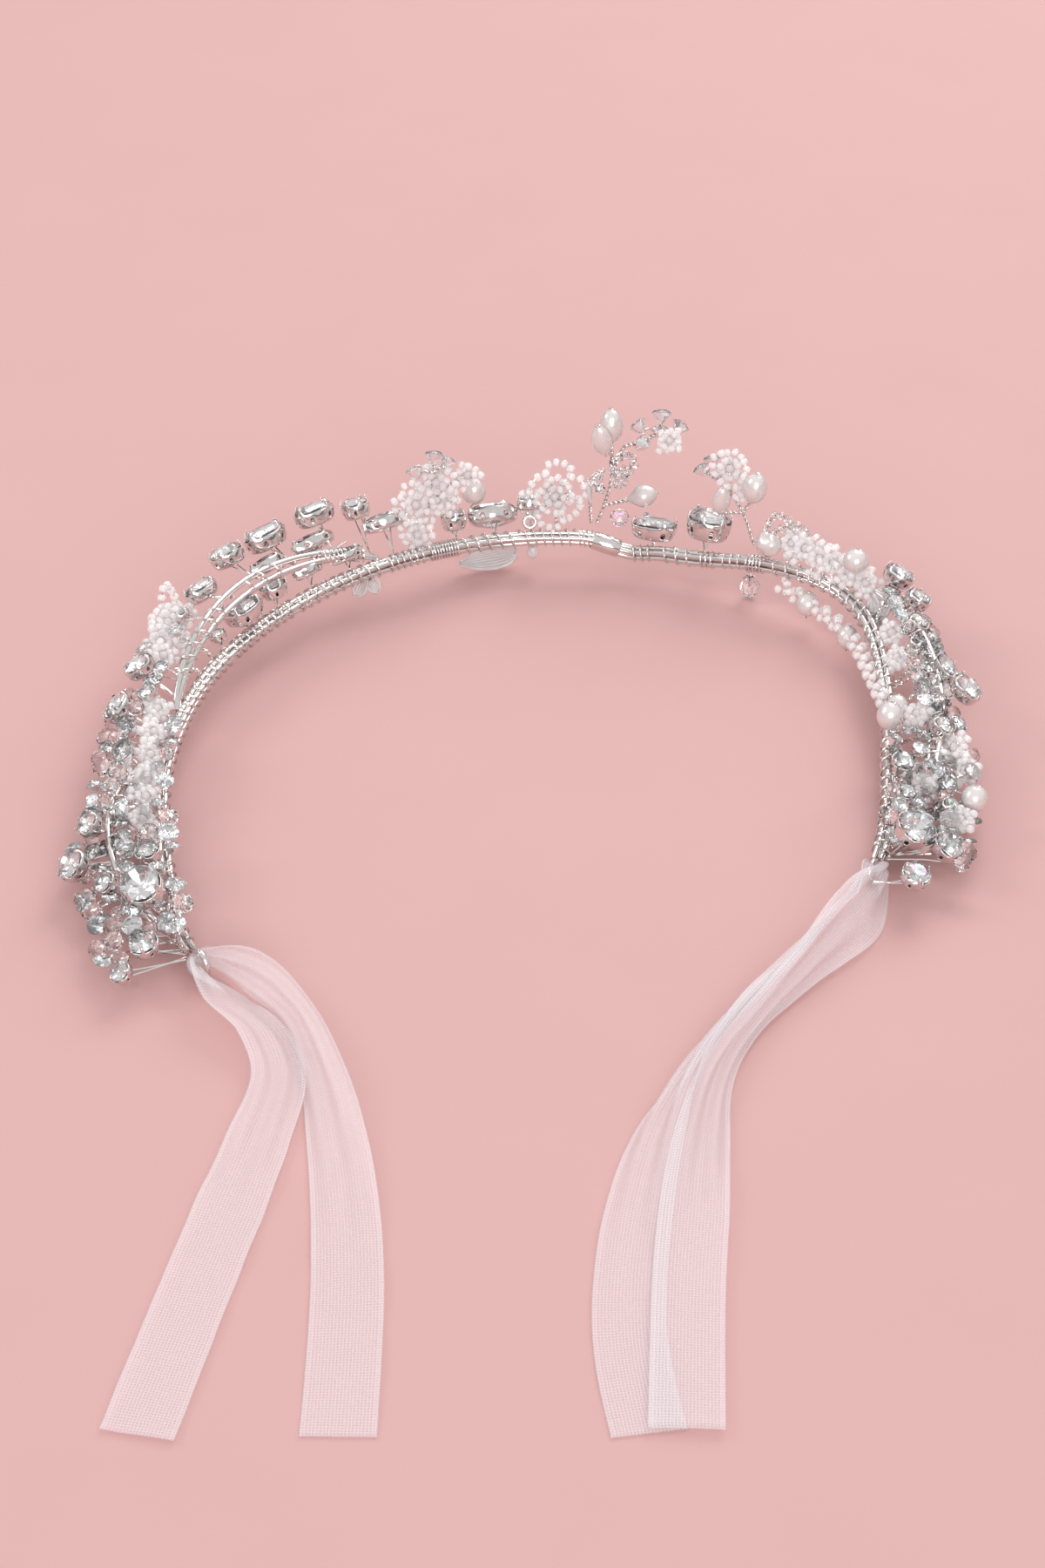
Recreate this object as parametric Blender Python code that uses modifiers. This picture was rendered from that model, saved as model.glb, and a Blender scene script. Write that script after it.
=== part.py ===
"""Silver wire bridal crown: an open oval band that carries set stones, pearl sprays, seed beads and two organza ties.

Metres, +Z up. The origin is at the centre of the band, on the surface that the crown stands on. +Y is the front of
the crown, and the band is open towards -Y. A place on the band is a station, an angle in degrees turned from +Y
towards +X, with a distance outwards from the rail and a height above the surface.
"""
import math

import bmesh
import bpy
from mathutils import Matrix, Vector

MM = 0.001

# Band outline
BAND_HALF_LENGTH = 79.5 * MM
BAND_HALF_WIDTH = 70.5 * MM
BAND_TURN = 25.0
LEFT_END = -131.0
RIGHT_END = 113.0
JOIN_STATION = 13.5
# Where the hand-bent band leaves its oval: station, distance outwards, spread in degrees
BENDS = ((50.0, 5.5 * MM, 16.0), (90.0, -2.5 * MM, 18.0), (-133.0, 5.0 * MM, 14.0))

# Heights of the rail above the surface
RAIL_HEIGHT = 8.6 * MM
KINK_DROP = 1.4 * MM
KINK_SPREAD = 6.0
DIP_DROP = 2.6 * MM
DIP_STATION = 24.5
DIP_SPREAD = 9.0
SHOULDER_RISE = 2.0 * MM
SHOULDER_STATION = 50.0
SHOULDER_SPREAD = 18.0
DESCENT_START = 62.0

# Wire and clearances
RAIL_WIRE = 1.1 * MM
UPPER_WIRE = 1.3 * MM
BINDING_WIRE = 0.4 * MM
STEM_WIRE = 0.9 * MM
BEAD_WIRE = 0.5 * MM
GAP = 0.35 * MM
RAIL_PITCH = RAIL_WIRE + GAP
RAIL_RADIUS = RAIL_PITCH / 2 + RAIL_WIRE / 2
BINDING_SLACK = 0.15 * MM
BINDING_RADIUS = RAIL_RADIUS + GAP + BINDING_SLACK + BINDING_WIRE / 2
CLEAR_OF_RAIL = BINDING_RADIUS + BINDING_WIRE / 2 + GAP
WIRE_STACK = 50.0
SLEEVE_LENGTH = 5.0 * MM
SLEEVE_WALL = 0.45 * MM
HINGE_GAP = 0.9 * MM

# End eyes and ties
EYE_RING = 2.35 * MM
EYE_WIRE = 1.1 * MM
RIBBON_WIDTH = 12.0 * MM
RIBBON_THICK = 0.8 * MM
GATHER_WIDTH = 2.4 * MM

# Settings
CUP_WALL = 0.4 * MM
CUP_FLOOR = 0.5 * MM
CUP_TAPER = 0.72
STONE_PAVILION = 0.3
STONE_TABLE = 0.6

# Beads
PEARL_LENGTH = 6.8 * MM
PEARL_WIDTH = 5.2 * MM
BEAD_HOLE = BEAD_WIRE / 2 + GAP

COLOURS = {
    "silver": ((0.86, 0.86, 0.88, 1.0), 0.18, 1.0),
    "crystal": ((0.90, 0.93, 0.96, 1.0), 0.05, 0.0),
    "pearl": ((0.95, 0.91, 0.89, 1.0), 0.30, 0.0),
    "seed_bead": ((0.95, 0.84, 0.84, 1.0), 0.15, 0.0),
    "organza": ((0.94, 0.84, 0.85, 1.0), 0.60, 0.0),
}


def radians(degrees):
    return math.radians(degrees)


def swell(station, middle, spread):
    """A smooth hill of height 1 at the middle station."""
    return math.exp(-((station - middle) / spread) ** 2)


def ease(value):
    value = min(max(value, 0.0), 1.0)
    return value * value * (3.0 - 2.0 * value)


def outward(station):
    """The level direction away from the head at a station."""
    long_axis = Vector((math.sin(radians(BAND_TURN)), math.cos(radians(BAND_TURN)), 0.0))
    short_axis = Vector((long_axis.y, -long_axis.x, 0.0))
    turn = radians(station - BAND_TURN)
    along = long_axis * (math.cos(turn) / BAND_HALF_LENGTH ** 2)
    across = short_axis * (math.sin(turn) / BAND_HALF_WIDTH ** 2)
    return (along + across).normalized()


def forward(station):
    """The level direction along the band, towards rising stations."""
    out = outward(station)
    return Vector((out.y, -out.x, 0.0))


def rail_height(station):
    end = LEFT_END if station < 0.0 else RIGHT_END
    descent = ease((abs(station) - DESCENT_START) / (abs(end) - DESCENT_START))
    height = RAIL_HEIGHT - descent * (RAIL_HEIGHT - EYE_RING - EYE_WIRE / 2)
    height -= KINK_DROP * swell(station, JOIN_STATION, KINK_SPREAD)
    height -= DIP_DROP * swell(station, DIP_STATION, DIP_SPREAD)
    return height + SHOULDER_RISE * swell(station, SHOULDER_STATION, SHOULDER_SPREAD)


def band(station, out=0.0, up=None):
    """A point of the band; up is a height above the surface, or None for the rail's own height."""
    turn = radians(station - BAND_TURN)
    radius = 1.0 / math.hypot(math.cos(turn) / BAND_HALF_LENGTH, math.sin(turn) / BAND_HALF_WIDTH)
    point = Vector((math.sin(radians(station)), math.cos(radians(station)), 0.0)) * radius
    for middle, distance, spread in BENDS:
        out += distance * swell(station, middle, spread)
    point += outward(station) * out
    point.z = rail_height(station) if up is None else up
    return point


def spaced(first, last, step):
    """Even values from first to last, about a step apart."""
    count = max(2, round(abs(last - first) / step) + 1)
    return [first + (last - first) * index / (count - 1) for index in range(count)]


def smooth_route(points, per_span):
    """Points on a smooth curve through the given ones, each a Vector of any size."""
    route = []
    last = len(points) - 1
    for span in range(last):
        before, start = points[max(span - 1, 0)], points[span]
        end, after = points[span + 1], points[min(span + 2, last)]
        for step in range(per_span):
            t = step / per_span
            route.append(0.5 * (2 * start + (end - before) * t
                                + (2 * before - 5 * start + 4 * end - after) * t ** 2
                                + (3 * start - before - 3 * end + after) * t ** 3))
    route.append(points[last])
    return route


# Scene helpers

def clear_scene():
    for item in list(bpy.data.objects):
        bpy.data.objects.remove(item, do_unlink=True)


def make_materials():
    for name, (colour, roughness, metallic) in COLOURS.items():
        material = bpy.data.materials.new(name)
        material.use_nodes = True
        shader = material.node_tree.nodes["Principled BSDF"]
        shader.inputs["Base Color"].default_value = colour
        shader.inputs["Roughness"].default_value = roughness
        shader.inputs["Metallic"].default_value = metallic


def add(name, data, material, pivot=None, place=None):
    """Link an object, dress it, and hang it on its body's empty without moving it."""
    item = bpy.data.objects.new(name, data)
    bpy.data.collections["flower_crown"].objects.link(item)
    data.materials.append(bpy.data.materials[material])
    if place is not None:
        item.matrix_world = place
    if pivot is not None:
        item.parent = pivot
        item.matrix_parent_inverse = pivot.matrix_world.inverted()
    return item


def pivot_at(name, point, parent=None):
    """An empty on a joint's axis, which carries the pieces that move with it."""
    item = bpy.data.objects.new(name, None)
    item.empty_display_size = 5 * MM
    bpy.data.collections["flower_crown"].objects.link(item)
    item.matrix_world = Matrix.Translation(point)
    if parent is not None:
        item.parent = parent
        item.matrix_parent_inverse = parent.matrix_world.inverted()
    bpy.context.view_layer.update()
    return item


def mesh_of(bm, name):
    mesh = bpy.data.meshes.new(name)
    bm.to_mesh(mesh)
    bm.free()
    mesh.shade_smooth()
    mesh.set_sharp_from_angle(angle=radians(35.0))
    return mesh


def tube_curve(name, points, diameter, bevel=1):
    curve = bpy.data.curves.new(name, "CURVE")
    curve.dimensions = "3D"
    curve.bevel_depth = diameter / 2
    curve.bevel_resolution = bevel
    curve.use_fill_caps = True
    spline = curve.splines.new("POLY")
    spline.points.add(len(points) - 1)
    for target, point in zip(spline.points, points):
        target.co = (point.x, point.y, point.z, 1.0)
    return curve


def wire(name, points, diameter, pivot=None, bevel=1):
    return add(name, tube_curve(name, points, diameter, bevel), "silver", pivot)


def as_mesh(curve):
    """The welded mesh of a curve, without leaving an object behind."""
    item = bpy.data.objects.new("scratch_curve", curve)
    bpy.data.collections["flower_crown"].objects.link(item)
    graph = bpy.context.evaluated_depsgraph_get()
    mesh = bpy.data.meshes.new_from_object(item.evaluated_get(graph))
    bpy.data.objects.remove(item, do_unlink=True)
    bm = bmesh.new()
    bm.from_mesh(mesh)
    bmesh.ops.remove_doubles(bm, verts=bm.verts, dist=0.001 * MM)
    bm.to_mesh(mesh)
    bm.free()
    return mesh


def fused(name, meshes, material, pivot=None):
    """One closed body from meshes that run into each other."""
    item = add(name, meshes[0], material)
    for index, mesh in enumerate(meshes[1:]):
        other = bpy.data.objects.new(f"{name}_union_{index}", mesh)
        bpy.data.collections["cutters"].objects.link(other)
        other.hide_render = True
        other.display_type = "WIRE"
        union = item.modifiers.new(other.name, "BOOLEAN")
        union.operation = "UNION"
        union.object = other
    if pivot is not None:
        item.parent = pivot
        item.matrix_parent_inverse = pivot.matrix_world.inverted()
    return item


# Shapes

def outline(kind, length, width, sides=14):
    """A flat outline round the origin, anticlockwise, with its length along X."""
    points = []
    for index in range(sides):
        angle = 2 * math.pi * (index + 0.5) / sides
        x, y = math.cos(angle), math.sin(angle)
        if kind == "marquise":
            y *= 1.0 - 0.35 * abs(x)
        elif kind == "pear":
            y *= 1.0 - 0.4 * max(x, 0.0)
        points.append((x * length / 2, y * width / 2))
    return points


def stacked(points, levels):
    """A closed shape from one outline, drawn up through levels of scale and height."""
    bm = bmesh.new()
    scale, height = levels[0]
    base = bm.faces.new([bm.verts.new((x * scale, y * scale, height)) for x, y in points])
    top = base
    for (before, _), (scale, height) in zip(levels, levels[1:]):
        drawn = bmesh.ops.extrude_face_region(bm, geom=[top])["geom"]
        if top is not base:
            bmesh.ops.delete(bm, geom=[top], context="FACES_ONLY")
        top = next(part for part in drawn if isinstance(part, bmesh.types.BMFace))
        for corner in top.verts:
            corner.co = Vector((corner.co.x * scale / before, corner.co.y * scale / before, height))
    bmesh.ops.recalc_face_normals(bm, faces=bm.faces)
    return bm


def seat(station, out, up, tilt, spin=0.0):
    """A frame on the band: X along the band, Z up and leaning outwards by tilt, then turned by spin."""
    axis_z = (Vector((0, 0, 1)) * math.cos(radians(tilt)) + outward(station) * math.sin(radians(tilt)))
    axis_x = forward(station)
    axis_y = axis_z.cross(axis_x)
    turned = Matrix((axis_x, axis_y, axis_z)).transposed().to_4x4() @ Matrix.Rotation(radians(spin), 4, "Z")
    return Matrix.Translation(band(station, out, up)) @ turned


def setting(name, kind, length, width, depth, place, pivot=None):
    """A silver cup and the stone that sits in it, two solids."""
    points = outline(kind, length, width)
    inner = 1.0 - 2 * CUP_WALL / width
    cup = [(CUP_TAPER, 0.0), (1.0, depth * 0.55), (1.0, depth), (inner, depth), (inner, depth * 0.55),
           (inner * CUP_TAPER, CUP_FLOOR)]
    add(f"{name}_cup", mesh_of(stacked(points, cup), f"{name}_cup"), "silver", pivot, place)
    fit = inner - 2 * GAP / width
    stone = [(fit * STONE_PAVILION, CUP_FLOOR + GAP), (fit, depth * 0.75), (fit, depth),
             (fit * STONE_TABLE, depth + 0.14 * width)]
    add(f"{name}_stone", mesh_of(stacked(points, stone), f"{name}_stone"), "crystal", pivot, place)


def set_stone(name, kind, length, width, depth, place, pivot=None):
    """A small stone crimped in its cup, one solid."""
    levels = [(CUP_TAPER, 0.0), (1.0, depth * 0.55), (1.0, depth), (STONE_TABLE, depth + 0.14 * width)]
    add(name, mesh_of(stacked(outline(kind, length, width), levels), name), "crystal", pivot, place)


def ball_mesh(size, detail=2):
    """An egg of the given X, Y and Z sizes."""
    bm = bmesh.new()
    bmesh.ops.create_icosphere(bm, subdivisions=detail, radius=0.5)
    bmesh.ops.scale(bm, vec=Vector(size), verts=bm.verts)
    return bm


def egg(name, size, material, place, pivot=None, detail=2):
    return add(name, mesh_of(ball_mesh(size, detail), name), material, pivot, place)


def threaded_bead(name, length, width, waist, place, pivot):
    """A turned bead with a hole along its axis; waist above 0 makes it a drop."""
    bm = bmesh.new()
    arc = 9
    corners = []
    for index in range(arc):
        angle = math.pi * (index + 0.5) / arc
        radius = math.sin(angle) * (1.0 - waist * max(math.cos(angle), 0.0))
        corners.append((max(radius * width / 2, BEAD_HOLE + 0.4 * MM), math.cos(angle) * length / 2))
    corners += [(BEAD_HOLE, corners[-1][1]), (BEAD_HOLE, corners[0][1])]
    verts = [bm.verts.new((x, 0.0, z)) for x, z in corners]
    for first, second in zip(verts, verts[1:] + verts[:1]):
        bm.edges.new((first, second))
    mesh = bpy.data.meshes.new(name)
    bm.to_mesh(mesh)
    bm.free()
    item = add(name, mesh, "pearl", pivot, place)
    screw = item.modifiers.new("turned", "SCREW")
    screw.steps = screw.render_steps = 14
    screw.use_merge_vertices = True
    screw.merge_threshold = 0.01 * MM
    screw.use_smooth_shade = True
    return item


def chaton_mesh(size, place):
    """A pointed rhinestone in its silver foil, point down, ready to be fused to a wire."""
    bm = stacked(outline("round", size, size, 8),
                 [(0.12, 0.0), (1.0, size * 0.62), (0.92, size * 0.74), (0.5, size * 0.86)])
    bmesh.ops.transform(bm, matrix=place, verts=bm.verts)
    mesh = bpy.data.meshes.new("chaton")
    bm.to_mesh(mesh)
    bm.free()
    return mesh


def aimed(point, direction, spin=0.0):
    """A frame at a point with its Z along a direction."""
    turn = Vector(direction).to_track_quat("Z", "Y").to_matrix().to_4x4()
    return Matrix.Translation(point) @ turn @ Matrix.Rotation(radians(spin), 4, "Z")


# Band

def rail_pair(side, first, last, pivot):
    """The two rail wires of one side, one above and outside the other."""
    lean = radians(WIRE_STACK)
    for name, sign in (("inner", -1), ("outer", 1)):
        out = sign * RAIL_PITCH / 2 * math.cos(lean)
        lift = sign * RAIL_PITCH / 2 * math.sin(lean)
        points = [band(s, out, rail_height(s) + lift) for s in spaced(first, last, 4.5)]
        wire(f"{name}_rail_{side}", points, RAIL_WIRE, pivot)


def coil(name, first, last, turns, pivot):
    """Binding wire wound round both rail wires."""
    points = []
    steps = 8 * turns
    for index in range(steps + 1):
        share = index / steps
        station = first + (last - first) * share
        angle = 2 * math.pi * turns * share
        points.append(band(station, BINDING_RADIUS * math.cos(angle),
                           rail_height(station) + BINDING_RADIUS * math.sin(angle)))
    wire(name, points, BINDING_WIRE, pivot, bevel=0)


def upper_rail(name, first, last, out, rise, pivot):
    """A thicker wire that bows up and outwards from the rail and comes back to it."""
    points = []
    for s in spaced(first, last, 4.0):
        share = math.sin(math.pi * (s - first) / (last - first)) ** 0.7
        points.append(band(s, CLEAR_OF_RAIL + UPPER_WIRE / 2 + (out - CLEAR_OF_RAIL) * share,
                           rail_height(s) + rise * share))
    wire(name, points, UPPER_WIRE, pivot)


def degrees_along(length, station):
    """How many degrees of station a length of the band takes."""
    return math.degrees(length / band(station).xy.length)


def end_eye(side, station, pivot):
    """The ring at a rail end that its tie goes through; it stands on the surface."""
    sign = 1 if station > 0 else -1
    centre = eye_centre(station)
    bpy.ops.mesh.primitive_torus_add(major_radius=EYE_RING, minor_radius=EYE_WIRE / 2,
                                     major_segments=20, minor_segments=8)
    made = bpy.context.object
    mesh = made.data
    bpy.data.objects.remove(made, do_unlink=True)
    mesh.name = f"end_eye_{side}"
    add(f"end_eye_{side}", mesh, "silver", pivot, aimed(centre, outward(station) * sign))


def eye_centre(station):
    sign = 1 if station > 0 else -1
    reach = EYE_RING + EYE_WIRE / 2 + GAP
    centre = band(station + sign * degrees_along(reach, station))
    centre.z = EYE_RING + EYE_WIRE / 2
    return centre


def make_band(right):
    gap = degrees_along(HINGE_GAP / 2, JOIN_STATION)
    sleeve = degrees_along(SLEEVE_LENGTH, JOIN_STATION)
    rail_pair("left", LEFT_END, JOIN_STATION - gap, None)
    rail_pair("right", JOIN_STATION + gap, RIGHT_END, right)
    inner = RAIL_RADIUS + GAP
    outer = inner + SLEEVE_WALL
    first, last = JOIN_STATION - gap - sleeve, JOIN_STATION - gap
    middle = (first + last) / 2
    half = SLEEVE_LENGTH / 2
    bm = bmesh.new()
    corners = ((outer, half), (outer, -half), (inner, -half), (inner, half))
    verts = [bm.verts.new((x, 0.0, z)) for x, z in corners]
    for start, end in zip(verts, verts[1:] + verts[:1]):
        bm.edges.new((start, end))
    mesh = bpy.data.meshes.new("join_sleeve")
    bm.to_mesh(mesh)
    bm.free()
    direction = band(last) - band(first)
    item = add("join_sleeve", mesh, "silver", None, aimed(band(middle), direction))
    screw = item.modifiers.new("turned", "SCREW")
    screw.steps = screw.render_steps = 16
    screw.use_merge_vertices = True
    screw.merge_threshold = 0.01 * MM
    coil("front_binding", -15.5, -9.5, 9, None)
    coil("centre_binding", -1.5, 6.5, 6, None)
    upper_rail("upper_rail_left", -26.0, -79.0, 4.8 * MM, 8.0 * MM, None)
    upper_rail("rear_upper_rail_left", -91.0, -127.0, 10.0 * MM, 4.0 * MM, None)
    upper_rail("upper_rail_right", 49.0, 109.0, 10.0 * MM, 5.0 * MM, right)
    end_eye("left", LEFT_END, None)
    end_eye("right", RIGHT_END, right)


# Set stones

def make_settings(right):
    setting("front_round", "round", 5.6 * MM, 5.6 * MM, 3.4 * MM, seat(-12.2, 2.6 * MM, 11.6 * MM, 24), None)
    setting("front_marquise", "marquise", 11.0 * MM, 7.0 * MM, 3.2 * MM,
            seat(-5.9, 2.8 * MM, 11.6 * MM, 48, 0), None)
    setting("front_octagon", "octagon", 9.6 * MM, 6.2 * MM, 3.6 * MM, seat(18.3, 2.2 * MM, 9.3 * MM, 16), right)
    setting("front_large_round", "round", 9.6 * MM, 9.6 * MM, 4.8 * MM,
            seat(26.2, 3.0 * MM, 10.6 * MM, 20), right)
    setting("left_round", "round", 6.0 * MM, 6.0 * MM, 3.2 * MM, seat(-26.8, 7.2 * MM, 17.2 * MM, 28), None)
    setting("left_oval", "oval", 9.0 * MM, 6.4 * MM, 3.4 * MM, seat(-33.2, 9.0 * MM, 18.0 * MM, 28), None)
    setting("left_pear", "pear", 10.0 * MM, 7.0 * MM, 3.6 * MM, seat(-41.3, 10.2 * MM, 16.4 * MM, 30), None)
    setting("left_octagon", "octagon", 8.4 * MM, 6.4 * MM, 3.6 * MM,
            seat(-54.4, 1.6 * MM, 10.8 * MM, 20), None)
    setting("rear_large_left", "oval", 9.6 * MM, 7.6 * MM, 3.8 * MM,
            seat(-124.5, 4.6 * MM, 11.0 * MM, 20), None)
    singles = (
        ("left_ab_stone", "round", 7.0 * MM, -49.2, 11.2 * MM, 17.6 * MM, 32, None),
        ("left_side_stone", "round", 6.0 * MM, -76.0, 9.3 * MM, 13.6 * MM, 34, None),
        ("rear_outer_stone_left", "round", 6.4 * MM, -113.0, 15.6 * MM, 6.4 * MM, 50, None),
        ("right_shoulder_stone", "round", 6.0 * MM, 54.5, 8.4 * MM, 14.4 * MM, 34, right),
        ("right_side_stone", "round", 6.4 * MM, 80.0, 13.4 * MM, 12.6 * MM, 40, right),
        ("rear_large_right", "round", 7.4 * MM, 111.5, 5.0 * MM, 9.6 * MM, 30, right),
    )
    for name, kind, size, station, out, up, tilt, pivot in singles:
        set_stone(name, kind, size, size, size * 0.42, seat(station, out, up, tilt), pivot)


# Sprays and beads

def branch(points):
    route = smooth_route([Vector(p) for p in points], 3)
    return as_mesh(tube_curve("branch", route, STEM_WIRE))


def make_centre_spray(pivot, pearl_pivot, drop_pivot, places):
    """Twisted stem with its pearl, leaf, rhinestone flower and drop bead."""
    root, fork, pearl, flower, drop = (places[key] for key in ("root", "fork", "pearl", "flower", "drop"))
    pearl_axis = (pearl - fork).normalized()
    drop_axis = (drop - places["low_fork"]).normalized()
    pearl_tip = pearl + pearl_axis * (PEARL_LENGTH / 2 + GAP + 0.6 * MM)
    drop_tip = drop + drop_axis * (PEARL_LENGTH / 2 + GAP + 0.6 * MM)
    stem = [branch([root, places["low_fork"], fork])]
    for start, tip in ((fork, pearl_tip), (places["low_fork"], drop_tip)):
        stem.append(as_mesh(tube_curve("bead_wire", [start, (start + tip) / 2, tip], BEAD_WIRE)))
    fused("centre_spray_stem", stem, "silver", pivot)
    threaded_bead("top_pearl", PEARL_LENGTH, PEARL_WIDTH, 0.0, aimed(pearl, pearl_axis), pearl_pivot)
    threaded_bead("drop_bead", PEARL_LENGTH, PEARL_WIDTH, 0.55, aimed(drop, -drop_axis), drop_pivot)
    egg("centre_leaf_pearl", (3.4 * MM, 2.2 * MM, 6.6 * MM), "pearl",
        Matrix.Translation(places["leaf"]) @ Matrix.Rotation(radians(18), 4, "Y"), pivot)
    start = fork + Vector((STEM_WIRE + 2 * GAP, 0.0, -2.0 * MM))
    hub = flower + Vector((0.0, 0.0, 2.6 * MM))
    arms = [branch([start, (start + hub) / 2 + Vector((0, 0, 0.8 * MM)), hub]),
            chaton_mesh(3.6 * MM, Matrix.Translation(hub - Vector((0, 0, 0.6 * MM))))]
    for index in range(5):
        angle = radians(36 + 72 * index)
        reach = Vector((math.cos(angle), 0.35 * math.sin(angle), math.sin(angle)))
        head = hub + reach * 4.2 * MM
        arms.append(as_mesh(tube_curve("arm", [hub, (hub + head) / 2, head + reach * 0.6 * MM], STEM_WIRE)))
        arms.append(chaton_mesh(3.2 * MM, aimed(head, reach + Vector((0, 0.7, 0.25)))))
    fused("rhinestone_flower", arms, "silver", pivot)
    egg("flower_seed_cluster", (4.6 * MM, 3.6 * MM, 4.6 * MM), "seed_bead",
        Matrix.Translation(places["seeds"]), pivot)


def make_left_spray(pivot):
    root = band(-17.4, 4.2 * MM, 12.4 * MM)
    middle = band(-15.8, 4.6 * MM, 18.0 * MM)
    top = band(-14.6, 5.6 * MM, 24.6 * MM)
    parts = [branch([root, middle, top])]
    for shift_x, shift_z in ((-3.4, 1.4), (0.6, 3.2), (3.6, 1.0)):
        head = top + Vector((shift_x * MM, 1.4 * MM, shift_z * MM))
        parts.append(as_mesh(tube_curve("arm", [top, (top + head) / 2, head], STEM_WIRE)))
        parts.append(chaton_mesh(3.4 * MM, aimed(head - Vector((0, 0, 0.8 * MM)), (shift_x * 0.1, 0.5, 1.0))))
    fused("left_spray_stem", parts, "silver", pivot)
    egg("left_spray_seeds", (9.0 * MM, 3.6 * MM, 7.0 * MM), "seed_bead",
        Matrix.Translation(band(-15.0, 8.2 * MM, 19.4 * MM)), pivot)


def make_right_spray(pivot):
    root = band(33.4, 3.4 * MM, 12.2 * MM)
    fork = band(31.4, 3.8 * MM, 18.4 * MM)
    top = band(28.0, 5.0 * MM, 23.2 * MM)
    end = band(25.4, 5.6 * MM, 24.8 * MM)
    parts = [branch([root, fork, top, end])]
    for shift_x, shift_z in ((-2.2, 0.2), (0.4, 1.8)):
        parts.append(chaton_mesh(3.4 * MM, aimed(end + Vector((shift_x * MM, 0, shift_z * MM)),
                                                 (-0.6, 0.5, 0.8))))
        head = end + Vector((shift_x * MM, 0, shift_z * MM))
        parts.append(as_mesh(tube_curve("arm", [end, (end + head) / 2, head], STEM_WIRE)))
    fused("right_spray_stem", parts, "silver", pivot)
    egg("right_spray_seeds", (5.0 * MM, 3.6 * MM, 6.4 * MM), "seed_bead",
        Matrix.Translation(band(29.4, 2.9 * MM, 28.8 * MM)), pivot)
    egg("right_leaf_pearl", (4.2 * MM, 2.2 * MM, 6.4 * MM), "pearl",
        Matrix.Translation(band(28.7, 1.9 * MM, 21.4 * MM)), pivot)
    egg("right_pearl", (PEARL_WIDTH, PEARL_WIDTH, PEARL_LENGTH), "pearl",
        Matrix.Translation(band(33.6, 2.1 * MM, 26.1 * MM)), pivot, 3)


def make_beads(right):
    upright = Matrix.Translation
    egg("seed_fan", (13.0 * MM, 3.4 * MM, 14.0 * MM), "seed_bead", upright(band(3.6, 3.6 * MM, 17.2 * MM)))
    egg("ribbed_petal", (13.0 * MM, 2.4 * MM, 5.6 * MM), "crystal", upright(band(-7.0, 3.0 * MM, 2.8 * MM)))
    egg("clear_bead", (4.2 * MM, 4.2 * MM, 4.2 * MM), "crystal", upright(band(12.9, 4.6 * MM, 11.2 * MM)), right)
    egg("hanging_crystal", (4.4 * MM, 4.4 * MM, 6.4 * MM), "crystal",
        upright(band(34.4, 0.0, 3.2 * MM)), right)
    egg("baroque_pearl", (6.4 * MM, 5.0 * MM, 5.4 * MM), "pearl",
        upright(band(36.7, 0.4 * MM, 14.5 * MM)), right)
    egg("right_seed_mass", (15.0 * MM, 5.0 * MM, 6.4 * MM), "seed_bead",
        upright(band(45.4, 0.6 * MM, 15.6 * MM)) @ Matrix.Rotation(radians(-48), 4, "Z"), right)
    egg("shoulder_pearl", (5.4 * MM, 5.4 * MM, 5.4 * MM), "pearl",
        upright(band(51.4, 1.5 * MM, 19.2 * MM)), right)
    egg("side_pearl_right", (5.4 * MM, 5.4 * MM, 6.0 * MM), "pearl",
        upright(band(86.0, -0.6 * MM, 13.6 * MM)), right)
    egg("outer_pearl_right", (5.2 * MM, 5.2 * MM, 5.6 * MM), "pearl",
        upright(band(99.5, 16.0 * MM, 8.4 * MM)), right)
    egg("left_seed_mass", (6.0 * MM, 14.0 * MM, 8.0 * MM), "seed_bead",
        upright(band(-64.0, 13.4 * MM, 12.4 * MM)) @ Matrix.Rotation(radians(-18), 4, "Z"))


# Ties

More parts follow.
